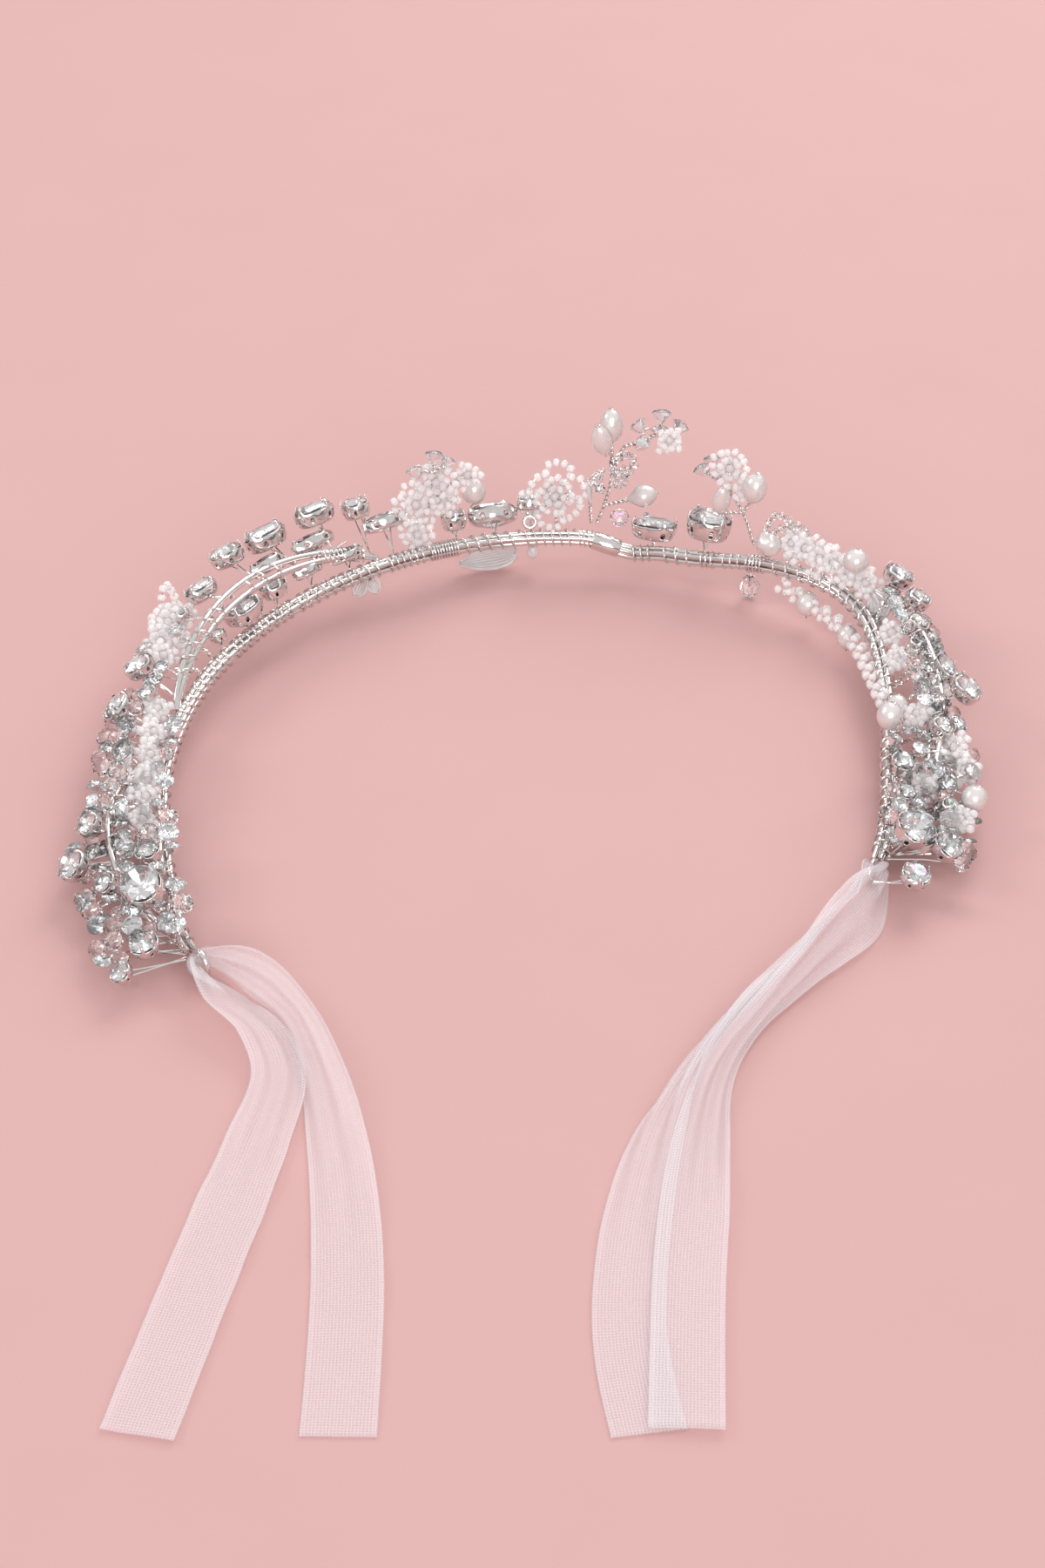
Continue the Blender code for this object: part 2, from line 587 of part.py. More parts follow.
def ribbon(name, station, tails, pivot):
    """A flat tie that goes through an end eye and lies on the surface in two tails."""
    eye = eye_centre(station)
    sign = 1 if station > 0 else -1
    through = outward(station)
    away = forward(station) * sign
    side = EYE_WIRE / 2 + GAP + RIBBON_THICK / 2
    lift = eye.z - GATHER_WIDTH / 2
    loop = ((side + 0.5 * MM, 4.6 * MM, 1.3), (side, 0.2 * MM, 1.0), (0.0, 0.0, 1.0),
            (-side, 0.2 * MM, 1.0), (-side - 0.5 * MM, 4.6 * MM, 1.3))
    stops = [(eye + through * out + away * back, lift / share, GATHER_WIDTH * share, radians(90.0))
             for out, back, share in loop]
    stops = tail_stops(eye, tails[0])[::-1] + stops + tail_stops(eye, tails[1])
    route = smooth_route([Vector((point.x, point.y, rise, width, lean)) for point, rise, width, lean in stops], 4)
    for value in route:
        edge = abs(math.sin(value[4])) * value[3] / 2 + math.cos(value[4]) * RIBBON_THICK / 2
        value[2] = max(value[2], 0.0) + edge
    bm = bmesh.new()
    rings = []
    for index, value in enumerate(route):
        before, after = route[max(index - 1, 0)], route[min(index + 1, len(route) - 1)]
        along = (Vector(after[:3]) - Vector(before[:3])).normalized()
        level = along.cross(Vector((0, 0, 1))).normalized()
        across = (Matrix.Rotation(value[4], 3, along) @ level)
        normal = along.cross(across).normalized() * RIBBON_THICK / 2
        half = across * value[3] / 2
        centre_here = Vector(value[:3])
        rings.append([bm.verts.new(centre_here + a + b)
                      for a, b in ((half, normal), (half, -normal), (-half, -normal), (-half, normal))])
    for ring, other in zip(rings, rings[1:]):
        for k in range(4):
            bm.faces.new((ring[k], ring[(k + 1) % 4], other[(k + 1) % 4], other[k]))
    bm.faces.new(rings[0])
    bm.faces.new(rings[-1][::-1])
    bmesh.ops.recalc_face_normals(bm, faces=bm.faces)
    bmesh.ops.triangulate(bm, faces=bm.faces)
    add(name, mesh_of(bm, name), "organza", pivot)


def tail_stops(eye, points):
    """A tail's middle line, lift, width and lean from hand-set points: x, y, lift, share of width, lean."""
    return [(eye.xy + Vector((x, y)) * MM, lift * MM, RIBBON_WIDTH * share, radians(lean))
            for x, y, lift, share, lean in points]


# Middle lines of the tails, from the end ring's centre to the cut end, in millimetres and degrees
LEFT_TAILS = (
    ((10.0, -14.0, 0.2, 0.36, 70.0), (14.8, -26.5, 0.0, 0.55, 25.0), (13.2, -44.0, 0.0, 1.0, 0.0),
     (6.0, -77.0, 0.0, 1.0, 0.0), (-0.8, -109.0, 0.0, 1.0, 0.0)),
    ((15.2, -11.0, 0.2, 0.36, 70.0), (23.4, -24.0, 0.0, 0.55, 25.0), (27.4, -43.0, 0.0, 1.0, 0.0),
     (30.2, -77.0, 0.0, 1.0, 0.0), (30.0, -109.0, 0.0, 1.0, 0.0)),
)
RIGHT_TAILS = (
    ((-4.2, -15.6, 0.2, 0.40, 70.0), (-17.6, -32.2, 0.4, 0.55, 40.0), (-30.6, -55.0, 1.2, 0.8, 0.0),
     (-36.8, -83.0, 1.2, 1.0, 0.0), (-39.2, -110.0, 1.2, 1.0, 0.0), (-40.6, -134.5, 1.2, 1.0, 0.0)),
    ((-9.2, -13.6, 0.2, 0.40, 70.0), (-24.6, -30.2, 0.0, 0.55, 40.0), (-37.6, -53.0, 0.0, 0.8, 0.0),
     (-46.0, -83.0, 0.0, 1.0, 0.0), (-48.8, -109.0, 0.0, 1.0, 0.0), (-46.3, -134.5, 0.0, 1.0, 0.0)),
)


def centre_places():
    """Where the centre spray's parts sit."""
    return {
        "root": band(9.6, 3.4 * MM, 11.2 * MM),
        "low_fork": band(10.6, 3.8 * MM, 14.5 * MM),
        "fork": band(11.6, 4.4 * MM, 27.0 * MM),
        "pearl": band(11.4, 5.2 * MM, 33.4 * MM),
        "flower": band(18.0, 7.4 * MM, 29.2 * MM),
        "seeds": band(20.2, 2.6 * MM, 34.0 * MM),
        "leaf": band(10.3, 0.8 * MM, 32.4 * MM),
        "drop": band(16.0, 5.0 * MM, 16.8 * MM),
    }


def main():
    clear_scene()
    for name in ("flower_crown", "cutters"):
        bpy.context.scene.collection.children.link(bpy.data.collections.new(name))
    make_materials()
    places = centre_places()
    right = pivot_at("band_flex_axis", band(JOIN_STATION))
    centre_pivot = pivot_at("centre_spray_axis", places["root"])
    pearl_pivot = pivot_at("top_pearl_axis", places["pearl"], centre_pivot)
    drop_pivot = pivot_at("drop_bead_axis", places["drop"], centre_pivot)
    left_spray_pivot = pivot_at("left_spray_axis", band(-17.4, 4.2 * MM, 12.4 * MM))
    right_spray_pivot = pivot_at("right_spray_axis", band(33.4, 3.4 * MM, 12.2 * MM), right)
    left_tie_pivot = pivot_at("left_tie_axis", eye_centre(LEFT_END))
    right_tie_pivot = pivot_at("right_tie_axis", eye_centre(RIGHT_END), right)
    make_band(right)
    make_settings(right)
    make_centre_spray(centre_pivot, pearl_pivot, drop_pivot, places)
    make_left_spray(left_spray_pivot)
    make_right_spray(right_spray_pivot)
    make_beads(right)
    ribbon("left_ribbon", LEFT_END, LEFT_TAILS, left_tie_pivot)
    ribbon("right_ribbon", RIGHT_END, RIGHT_TAILS, right_tie_pivot)


if __name__ == "__main__":
    main()
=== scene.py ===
"""Looks of the bridal crown: wire, set stones, pearls, seed-bead ruffles and organza ties.

Metres, +Z up, in the frame's own axes: the origin is the centre of the open oval band, and +Y is
the front. A place on the band is a station, an angle in degrees turned from +Y towards +X, with a
distance outwards and a height.
"""
import math
import random

import bmesh
import bpy
from mathutils import Matrix, Vector, noise


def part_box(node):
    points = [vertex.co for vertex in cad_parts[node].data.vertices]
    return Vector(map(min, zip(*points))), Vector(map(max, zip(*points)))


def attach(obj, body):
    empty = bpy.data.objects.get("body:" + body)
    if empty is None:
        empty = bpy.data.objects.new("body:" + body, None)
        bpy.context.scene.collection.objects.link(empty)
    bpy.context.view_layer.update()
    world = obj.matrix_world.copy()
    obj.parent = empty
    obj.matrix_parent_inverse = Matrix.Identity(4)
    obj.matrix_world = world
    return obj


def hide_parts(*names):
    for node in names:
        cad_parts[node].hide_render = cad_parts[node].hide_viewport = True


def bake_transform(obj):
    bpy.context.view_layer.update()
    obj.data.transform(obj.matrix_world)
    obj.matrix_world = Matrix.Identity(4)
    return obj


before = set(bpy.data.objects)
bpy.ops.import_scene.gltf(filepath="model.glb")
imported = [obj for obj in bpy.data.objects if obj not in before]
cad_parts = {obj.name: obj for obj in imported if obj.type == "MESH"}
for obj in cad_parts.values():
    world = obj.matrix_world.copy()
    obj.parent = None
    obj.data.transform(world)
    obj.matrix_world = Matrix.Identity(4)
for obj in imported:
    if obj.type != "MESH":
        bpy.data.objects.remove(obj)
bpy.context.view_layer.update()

bl_info = {
    "name": "Bridal Crown Looks",
    "version": (1, 0, 0),
    "blender": (4, 5, 0),
    "location": "View3D > Sidebar > Crown",
    "description": "Wire, stones, beads and ties of an open bridal crown",
    "category": "Object",
}

MM = 0.001

# The band's centre line, as the frame has it
BAND_HALF_LENGTH = 79.5 * MM
BAND_HALF_WIDTH = 70.5 * MM
BAND_TURN = 25.0
LEFT_END = -131.0
RIGHT_END = 113.0
JOIN_STATION = 13.5
BENDS = ((50.0, 5.5 * MM, 16.0), (90.0, -2.5 * MM, 18.0), (-133.0, 5.0 * MM, 14.0))
RAIL_HEIGHT = 8.6 * MM
END_HEIGHT = 2.9 * MM
KINK_DROP = 1.4 * MM
KINK_SPREAD = 6.0
DIP_DROP = 2.6 * MM
DIP_STATION = 24.5
DIP_SPREAD = 9.0
SHOULDER_RISE = 2.0 * MM
SHOULDER_STATION = 50.0
SHOULDER_SPREAD = 18.0
DESCENT_START = 62.0

# The sharp step of the wires at the kink: station, rise in millimetres, spread
KINK_STEP = ((9.0, 0.5, 3.0), (15.4, -0.9, 3.2), (27.0, 0.5, 8.0))

# Bowed wires over the rail: first and last station, how far they bow outwards and how far they rise
UPPER_LEFT = (-26.0, -79.0, 4.8, 9.2)
UPPER_REAR_LEFT = (-91.0, -127.0, 10.0, 4.0)
UPPER_RIGHT = (49.0, 109.0, 10.0, 5.0)

# Radius of the binding wire's turns round the rail, in millimetres
WRAP_RADIUS = 1.84
# The rail is drawn through this many stations, with its wires this far from its middle line, in millimetres
RAIL_STATIONS = 163
RAIL_SPREAD = 0.98

# Organza: real threads are 0.2 mm apart, too fine to show, so they are drawn coarser; the wave texture has
# 20 / (2 pi) bands for each unit of its scale
THREAD_SPACING = 0.55 * MM
WAVES_PER_TURN = 2 * math.pi / 20
# The selvedge thickens between these distances from the ribbon's middle
SELVEDGE = (5.0 * MM, 5.6 * MM)

# Where the camera stands, and what it looks at
VIEW_TARGET = Vector((-2.5, 1.0, 0.0)) * MM
VIEW_DISTANCE = 0.6
VIEW_ELEVATION = 37.0
VIEW_LENS = 70.0

# The studio: half the floor's side, the sky's tones by height above the horizon, and the softboxes
FLOOR_HALF = 60.0
HORIZON = (0.72, 0.56, 0.55)
SKY = ((0.0, HORIZON), (0.1, HORIZON), (0.13, (0.12, 0.12, 0.125)), (0.18, (0.22, 0.22, 0.225)),
       (0.27, (1.0, 0.995, 0.99)))
SKY_STRENGTH = 0.74
# Name, place, side and power in watts
SOFTBOXES = (("softbox_back", (0.35, 0.75, 0.8), 0.7, 5.6), ("softbox_left", (-0.9, 0.1, 0.7), 0.4, 2.6),
             ("softbox_front", (0.1, -1.2, 0.62), 0.8, 7.5))


def linear(code):
    """An sRGB hex colour as linear red, green and blue."""
    parts = [int(code[start:start + 2], 16) / 255 for start in (1, 3, 5)]
    return tuple(part / 12.92 if part <= 0.04045 else ((part + 0.055) / 1.055) ** 2.4 for part in parts)


def length_property(name, description, millimetres):
    """A length that a user may change, given in millimetres."""
    return bpy.props.FloatProperty(name=name, description=description, default=millimetres * MM,
                                   min=0.05 * MM, unit="LENGTH", subtype="DISTANCE", precision=5)


def colour_property(name, description, code):
    """A colour that a user may change, given as an sRGB hex code."""
    return bpy.props.FloatVectorProperty(name=name, description=description, default=linear(code),
                                         size=3, min=0.0, max=1.0, subtype="COLOR")


class CrownSizes(bpy.types.PropertyGroup):
    """Sizes of the wire, beads and ties"""
    rail_wire: length_property("Rail wire", "Diameter of each wire of the rail", 1.2)
    upper_wire: length_property("Upper wire", "Diameter of the bowed wires over the rail", 1.35)
    binding_wire: length_property("Binding wire", "Diameter of the wire that binds the rail", 0.42)
    stem_strand: length_property("Stem strand", "Diameter of each strand of a twisted stem", 0.46)
    stem_pitch: length_property("Stem pitch", "Length of one turn of a twisted stem", 2.1)
    bead_wire: length_property("Bead wire", "Diameter of the wire inside a string of seed beads", 0.24)
    seed_bead: length_property("Seed bead", "Diameter of a seed bead", 1.85)
    seed_spacing: length_property("Seed spacing", "Distance between seed beads on a string", 1.86)
    cup_wall: length_property("Cup wall", "Thickness of a stamped cup", 0.28)
    chaton: length_property("Chaton", "Diameter of a pointed rhinestone on a spray", 4.0)
    ribbon_width: length_property("Ribbon width", "Width of the organza ribbon", 12.0)
    ribbon_thickness: length_property("Ribbon thickness", "Thickness of the organza", 0.12)


class CrownColours(bpy.types.PropertyGroup):
    """Colours of the crown and its stage"""
    silver: colour_property("Silver", "Bright silver plate", "#ece8e6")
    foil: colour_property("Foil", "Mirror foil behind a stone", "#fbfbfc")
    crystal: colour_property("Crystal", "Clear lead crystal", "#ffffff")
    pearl: colour_property("Pearl", "Nacre of the pearls", "#e9e3e1")
    # The rim tone is the nacre's warm overtone plus painted shade: it darkens each pearl towards its edge
    pearl_rim_overtone_and_shade: colour_property("Pearl blush", "Warm cast at the rim of a pearl", "#cfc4c2")
    seed_glass: colour_property("Seed glass", "Pinkish clear glass of the seed beads", "#fffafa")
    organza: colour_property("Organza", "Woven ribbon", "#fbf3f7")
    floor: colour_property("Floor", "Pale card that the crown stands on", "#d0a5a3")


# Places on the band

def swell(station, middle, spread):
    """A smooth bump of height 1 at a middle station."""
    return math.exp(-((station - middle) / spread) ** 2)


def ease(value):
    """A smooth step from 0 to 1."""
    value = min(max(value, 0.0), 1.0)
    return value * value * (3.0 - 2.0 * value)


def outward(station):
    """The level direction away from the head at a station."""
    turned = math.radians(BAND_TURN)
    long_axis = Vector((math.sin(turned), math.cos(turned), 0.0))
    short_axis = Vector((long_axis.y, -long_axis.x, 0.0))
    turn = math.radians(station - BAND_TURN)
    along = long_axis * (math.cos(turn) / BAND_HALF_LENGTH ** 2)
    across = short_axis * (math.sin(turn) / BAND_HALF_WIDTH ** 2)
    return (along + across).normalized()


def forward(station):
    """The level direction along the band, towards growing stations."""
    out = outward(station)
    return Vector((out.y, -out.x, 0.0))


def rail_height(station):
    """The height of the rail's middle line."""
    end = LEFT_END if station < 0.0 else RIGHT_END
    descent = ease((abs(station) - DESCENT_START) / (abs(end) - DESCENT_START))
    height = RAIL_HEIGHT - descent * (RAIL_HEIGHT - END_HEIGHT)
    height -= KINK_DROP * swell(station, JOIN_STATION, KINK_SPREAD)
    height -= DIP_DROP * swell(station, DIP_STATION, DIP_SPREAD)
    return height + SHOULDER_RISE * swell(station, SHOULDER_STATION, SHOULDER_SPREAD)


def band(station, out=0.0, up=None):
    """A point of the band; out and up are in millimetres, and up None is the rail's own height."""
    turn = math.radians(station - BAND_TURN)
    radius = 1.0 / math.hypot(math.cos(turn) / BAND_HALF_LENGTH, math.sin(turn) / BAND_HALF_WIDTH)
    point = Vector((math.sin(math.radians(station)), math.cos(math.radians(station)), 0.0)) * radius
    reach = out * MM + sum(distance * swell(station, middle, spread) for middle, distance, spread in BENDS)
    point += outward(station) * reach
    point.z = rail_height(station) if up is None else up * MM
    return point


def rail_lift(station):
    """The rail's height in millimetres, with the sharp step down at its kink."""
    step = sum(rise * swell(station, middle, spread) for middle, rise, spread in KINK_STEP)
    return rail_height(station) / MM + step


def body_at(station):
    """The half of the band that a station is on."""
    return "left_band" if station < JOIN_STATION else "right_band"


def middle_of(node):
    """The middle of a frame node's box."""
    low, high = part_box(node)
    return (low + high) / 2


def seat(point, station, tilt, spin=0.0):
    """A frame at a point: X along the band, Z up and leaning outwards by tilt, then turned by spin."""
    lean = math.radians(tilt)
    axis_z = Vector((0, 0, 1)) * math.cos(lean) + outward(station) * math.sin(lean)
    axis_x = forward(station)
    turned = Matrix((axis_x, axis_z.cross(axis_x), axis_z)).transposed().to_4x4()
    return Matrix.Translation(point) @ turned @ Matrix.Rotation(math.radians(spin), 4, "Z")


def aimed(point, direction, spin=0.0):
    """A frame at a point with its Z along a direction."""
    turn = Vector(direction).to_track_quat("Z", "Y").to_matrix().to_4x4()
    return Matrix.Translation(point) @ turn @ Matrix.Rotation(math.radians(spin), 4, "Z")


# Routes

def smooth(points, per_span=8):
    """Points on a smooth curve through the given ones."""
    route = []
    last = len(points) - 1
    for span in range(last):
        before, start = points[max(span - 1, 0)], points[span]
        end, after = points[span + 1], points[min(span + 2, last)]
        for step in range(per_span):
            t = step / per_span
            route.append(0.5 * (2 * start + (end - before) * t
                                + (2 * before - 5 * start + 4 * end - after) * t ** 2
                                + (3 * start - before - 3 * end + after) * t ** 3))
    route.append(points[last])
    return route


def evenly(route, step):
    """Points about a step apart along a route, both ends kept."""
    spans = [(end - start).length for start, end in zip(route, route[1:])]
    count = max(2, round(sum(spans) / step) + 1)
    gap = sum(spans) / (count - 1)
    points, index, passed = [route[0]], 0, 0.0
    for number in range(1, count - 1):
        while index < len(spans) - 1 and passed + spans[index] < number * gap:
            passed += spans[index]
            index += 1
        share = (number * gap - passed) / max(spans[index], 1e-9)
        points.append(route[index].lerp(route[index + 1], share))
    return points + [route[-1]]


def wound(route, radius, pitch, strands=2, start=0.0):
    """Strands wound round a route, each a list of points."""
    routes = [[] for _ in range(strands)]
    travelled, side = start * pitch, None
    for index, point in enumerate(route):
        before, after = route[max(index - 1, 0)], route[min(index + 1, len(route) - 1)]
        along = (after - before).normalized()
        side = side or along.orthogonal()
        side = (side - along * side.dot(along)).normalized()
        travelled += (point - before).length
        for number, strand in enumerate(routes):
            turn = 2 * math.pi * (travelled / pitch + number / strands)
            strand.append(point + (side * math.cos(turn) + along.cross(side) * math.sin(turn)) * radius)
    return routes


def twisted(points):
    """The two strands of a twisted stem through the given points."""
    sizes = bpy.context.scene.crown_sizes
    route = evenly(smooth(points), sizes.stem_pitch / 9)
    return wound(route, sizes.stem_strand * 0.52, sizes.stem_pitch)


def ruffle(centre, facing, radius, lobes=3, phase=0.0):
    """A closed loop that waves like the rim of a petal; radius is in millimetres."""
    place = aimed(centre, facing, math.degrees(phase))
    points = []
    steps = 36
    for index in range(steps + 1):
        turn = 2 * math.pi * index / steps
        reach = radius * MM * (1.0 + 0.2 * math.cos(lobes * turn))
        lift = radius * MM * 0.42 * math.sin(lobes * turn + phase)
        points.append(place @ Vector((reach * math.cos(turn), reach * math.sin(turn), lift)))
    return points


def bead_flower(centre, facing, radius, petals=5, phase=0.0):
    """Strings of a beaded flower: two nested loops for each petal; radius is in millimetres."""
    routes = []
    place = aimed(centre, facing, phase)
    for number in range(petals):
        turn = 2 * math.pi * number / petals
        uneven = 1.0 + 0.14 * math.sin(2.3 * number + radius)
        for reach, wide in ((uneven, 0.42), (0.56 * uneven, 0.2)):
            points = []
            for step in range(9):
                share = step / 8
                along = radius * reach * math.sin(math.pi * share) ** 0.8
                aside = radius * wide * math.sin(2 * math.pi * share)
                lift = 0.25 * along * math.sin(3 * turn + 1.0) + (0.5 if reach < 1 else 0.0)
                points.append(place @ (Vector((along * math.cos(turn) - aside * math.sin(turn),
                                               along * math.sin(turn) + aside * math.cos(turn), lift)) * MM))
            routes.append(smooth(points, 4))
    return routes


# Making pieces

def mesh_from(bm, name, materials=(), sharp=None):
    """A smooth mesh from a bmesh; edges sharper than the angle in degrees stay crisp."""
    mesh = bpy.data.meshes.new(name)
    bm.to_mesh(mesh)
    bm.free()
    mesh.shade_smooth()
    if sharp is not None:
        mesh.set_sharp_from_angle(angle=math.radians(sharp))
    for material in materials:
        mesh.materials.append(bpy.data.materials[material])
    return mesh


def flat_mesh(bm, name, materials):
    """A mesh whose faces keep their own shading, as cut stones have."""
    mesh = bpy.data.meshes.new(name)
    bm.to_mesh(mesh)
    bm.free()
    for material in materials:
        mesh.materials.append(bpy.data.materials[material])
    return mesh


def piece_from(mesh, name, body, replaces=()):
    """Link a finished mesh as a piece that rides on a body."""
    mesh.name = name
    piece = bpy.data.objects.new(name, mesh)
    bpy.context.scene.collection.objects.link(piece)
    if body is not None:
        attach(piece, body)
    if replaces:
        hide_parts(*replaces)
    return piece


def wire_mesh(routes, diameter, material="silver_plate", bevel=1):
    """One mesh of round wires with closed ends."""
    curve = bpy.data.curves.new("wire", "CURVE")
    curve.dimensions = "3D"
    curve.bevel_depth = diameter / 2
    curve.bevel_resolution = bevel
    curve.use_fill_caps = True
    for route in routes:
        spline = curve.splines.new("POLY")
        spline.points.add(len(route) - 1)
        for target, point in zip(spline.points, route):
            target.co = (point.x, point.y, point.z, 1.0)
    scratch = bpy.data.objects.new("scratch_curve", curve)
    bpy.context.scene.collection.objects.link(scratch)
    graph = bpy.context.evaluated_depsgraph_get()
    mesh = bpy.data.meshes.new_from_object(scratch.evaluated_get(graph))
    bpy.data.objects.remove(scratch, do_unlink=True)
    bpy.data.curves.remove(curve)
    bm = bmesh.new()
    bm.from_mesh(mesh)
    bpy.data.meshes.remove(mesh)
    bmesh.ops.remove_doubles(bm, verts=bm.verts, dist=1e-7)
    return mesh_from(bm, "wire", [material], sharp=60.0)


def merged(meshes, name, materials, sharp=None, matrices=None):
    """One mesh from several, each moved by its matrix."""
    bm = bmesh.new()
    for index, mesh in enumerate(meshes):
        copy = mesh.copy()
        if matrices:
            copy.transform(matrices[index])
        bm.from_mesh(copy)
        bpy.data.meshes.remove(copy)
    return mesh_from(bm, name, materials, sharp)


def turned(profile, steps, name, materials, sharp=None):
    """A turned shape from a closed profile of radius and height."""
    bm = bmesh.new()
    corners = [bm.verts.new((x, 0.0, z)) for x, z in profile]
    edges = [bm.edges.new(pair) for pair in zip(corners, corners[1:] + corners[:1])]
    bmesh.ops.spin(bm, geom=corners + edges, cent=(0, 0, 0), axis=(0, 0, 1), angle=2 * math.pi,
                   steps=steps, use_merge=True)
    bmesh.ops.remove_doubles(bm, verts=bm.verts, dist=1e-7)
    bmesh.ops.recalc_face_normals(bm, faces=bm.faces)
    return mesh_from(bm, name, materials, sharp)


def seed_template(diameter, material):
    """A seed bead round Z: a fat short ring of a few dozen faces."""
    radius, half = diameter / 2, diameter * 0.36
    hole = diameter * 0.16
    profile = [(hole, -half * 0.8), (radius * 0.72, -half), (radius, -half * 0.4),
               (radius, half * 0.4), (radius * 0.72, half), (hole, half * 0.8)]
    return turned(profile, 8, "seed", [material])


def strung(name, routes, body, replaces=(), material="seed_glass"):
    """Seed beads on their wires along each route, as two pieces."""
    sizes = bpy.context.scene.crown_sizes
    draw = random.Random(len(routes) * 101 + len(name))
    template = seed_template(sizes.seed_bead, material)
    matrices = []
    for route in routes:
        points = evenly(route, sizes.seed_spacing)
        for index, point in enumerate(points[:-1]):
            after = points[index + 1]
            scale = Matrix.Scale(draw.uniform(0.9, 1.06), 4)
            matrices.append(aimed(point, after - point, draw.uniform(0, 45)) @ scale)
    beads = merged([template] * len(matrices), name, [material], matrices=matrices)
    bpy.data.meshes.remove(template)
    piece_from(beads, name, body, replaces)
    core = wire_mesh([evenly(route, sizes.seed_spacing) for route in routes], sizes.bead_wire, bevel=0)
    piece_from(core, f"{name}_wire", body)


# Materials

def add_node(tree, kind, inputs=None, **settings):
    """Add a node; an input that is given a socket is linked to it, and any other value is set."""
    made = tree.nodes.new(kind)
    for key, value in settings.items():
        setattr(made, key, value)
    for key, value in (inputs or {}).items():
        if isinstance(value, bpy.types.NodeSocket):
            tree.links.new(value, made.inputs[key])
        else:
            made.inputs[key].default_value = value
    return made


def new_material(name, **values):
    """A material whose shader has the given socket values; returns its tree and shader."""
    material = bpy.data.materials.new(name)
    material.use_nodes = True
    tree = material.node_tree
    shader = tree.nodes["Principled BSDF"]
    for key, value in values.items():
        shader.inputs[key.replace("_", " ")].default_value = value
    return tree, shader


def speckle(tree, spacing_mm, low=0.0, high=1.0, detail=2.0):
    """A soft pattern of spots a few of the given millimetres apart, from low to high."""
    place = add_node(tree, "ShaderNodeTexCoord").outputs["Object"]
    spots = add_node(tree, "ShaderNodeTexNoise", {"Vector": place, "Scale": 1.0 / (spacing_mm * MM),
                                                  "Detail": detail})
    spread = add_node(tree, "ShaderNodeMapRange", {"Value": spots.outputs["Fac"], "From Min": 0.3,
                                                   "From Max": 0.7, "To Min": low, "To Max": high})
    return spread.outputs["Result"]


def surfaced(tree, shader, factor, tones, gloss=None, height=None, relief_mm=0.0, strength=1.0):
    """Give a shader two tones that a factor mixes, an uneven roughness and a relief from a height."""
    ramp = add_node(tree, "ShaderNodeValToRGB", {"Fac": factor})
    for stop, tone in zip(ramp.color_ramp.elements, tones):
        stop.color = (*tone, 1.0)
    tree.links.new(ramp.outputs["Color"], shader.inputs["Base Color"])
    if gloss:
        tree.links.new(gloss, shader.inputs["Roughness"])
    if height:
        bump = add_node(tree, "ShaderNodeBump", {"Height": height, "Strength": strength,
                                                 "Distance": relief_mm * MM})
        tree.links.new(bump.outputs["Normal"], shader.inputs["Normal"])


def darker(colour, share):
    """A colour with a share of its light."""
    return tuple(part * share for part in colour)


def make_silver(colours):
    """Silver-plated copper wire, drawn and polished: bright, with faint draw marks and handling haze."""
    tree, shader = new_material("silver_plate", Metallic=1.0)
    surfaced(tree, shader, speckle(tree, 2.5), (darker(colours.silver, 0.9), colours.silver),
             gloss=speckle(tree, 1.2, 0.04, 0.13), height=speckle(tree, 0.25), relief_mm=0.006, strength=0.5)


def make_stamped_silver(colours):
    """Stamped and plated cup metal: a mirror with soft tool dents."""
    tree, shader = new_material("stamped_silver", Metallic=1.0)
    surfaced(tree, shader, speckle(tree, 1.6), (darker(colours.silver, 0.84), colours.silver),
             gloss=speckle(tree, 0.9, 0.04, 0.14), height=speckle(tree, 1.1, detail=0.0), relief_mm=0.05,
             strength=0.6)


def make_foil(colours):
    """Silvered foil under lacquer behind a stone: a bright mirror that the lacquer softens."""
    tree, shader = new_material("mirror_foil", Metallic=0.82)
    surfaced(tree, shader, speckle(tree, 0.8), (darker(colours.foil, 0.9), colours.foil),
             gloss=speckle(tree, 0.5, 0.06, 0.16))


def make_crystal(colours):
    """Cut lead crystal, clear with white glints, and the same with an uneven rainbow coat."""
    for name in ("cut_crystal", "coated_crystal"):
        tree, shader = new_material(name, IOR=1.58, Transmission_Weight=1.0, Thin_Film_IOR=1.9)
        surfaced(tree, shader, speckle(tree, 3.0), (darker(colours.crystal, 0.96), colours.crystal),
                 gloss=speckle(tree, 0.7, 0.0, 0.03))
        if name == "coated_crystal":
            # The coat is 300 to 620 nanometres thick
            tree.links.new(speckle(tree, 1.6, 300.0, 620.0), shader.inputs["Thin Film Thickness"])


def make_pearl(colours):
    """Nacre in thin layers: a lustrous satin body under a clear gloss, darker towards its rim from a warm
    overtone with painted shade.
    """
    tree, shader = new_material("pearl_nacre", IOR=1.55, Metallic=0.3, Coat_Weight=1.0,
                                Coat_Roughness=0.07, Subsurface_Weight=0.25,
                                Subsurface_Scale=0.6 * MM, Subsurface_Radius=(1, 1, 1))
    # Painted shade: the facing weight mixes in the darker, warmer rim tone where the surface turns away from
    # the view
    rim = add_node(tree, "ShaderNodeLayerWeight", {"Blend": 0.35}).outputs["Facing"]
    surfaced(tree, shader, rim, (colours.pearl, colours.pearl_rim_overtone_and_shade), gloss=speckle(tree, 1.4, 0.16, 0.3),
             height=speckle(tree, 1.8), relief_mm=0.05, strength=0.5)


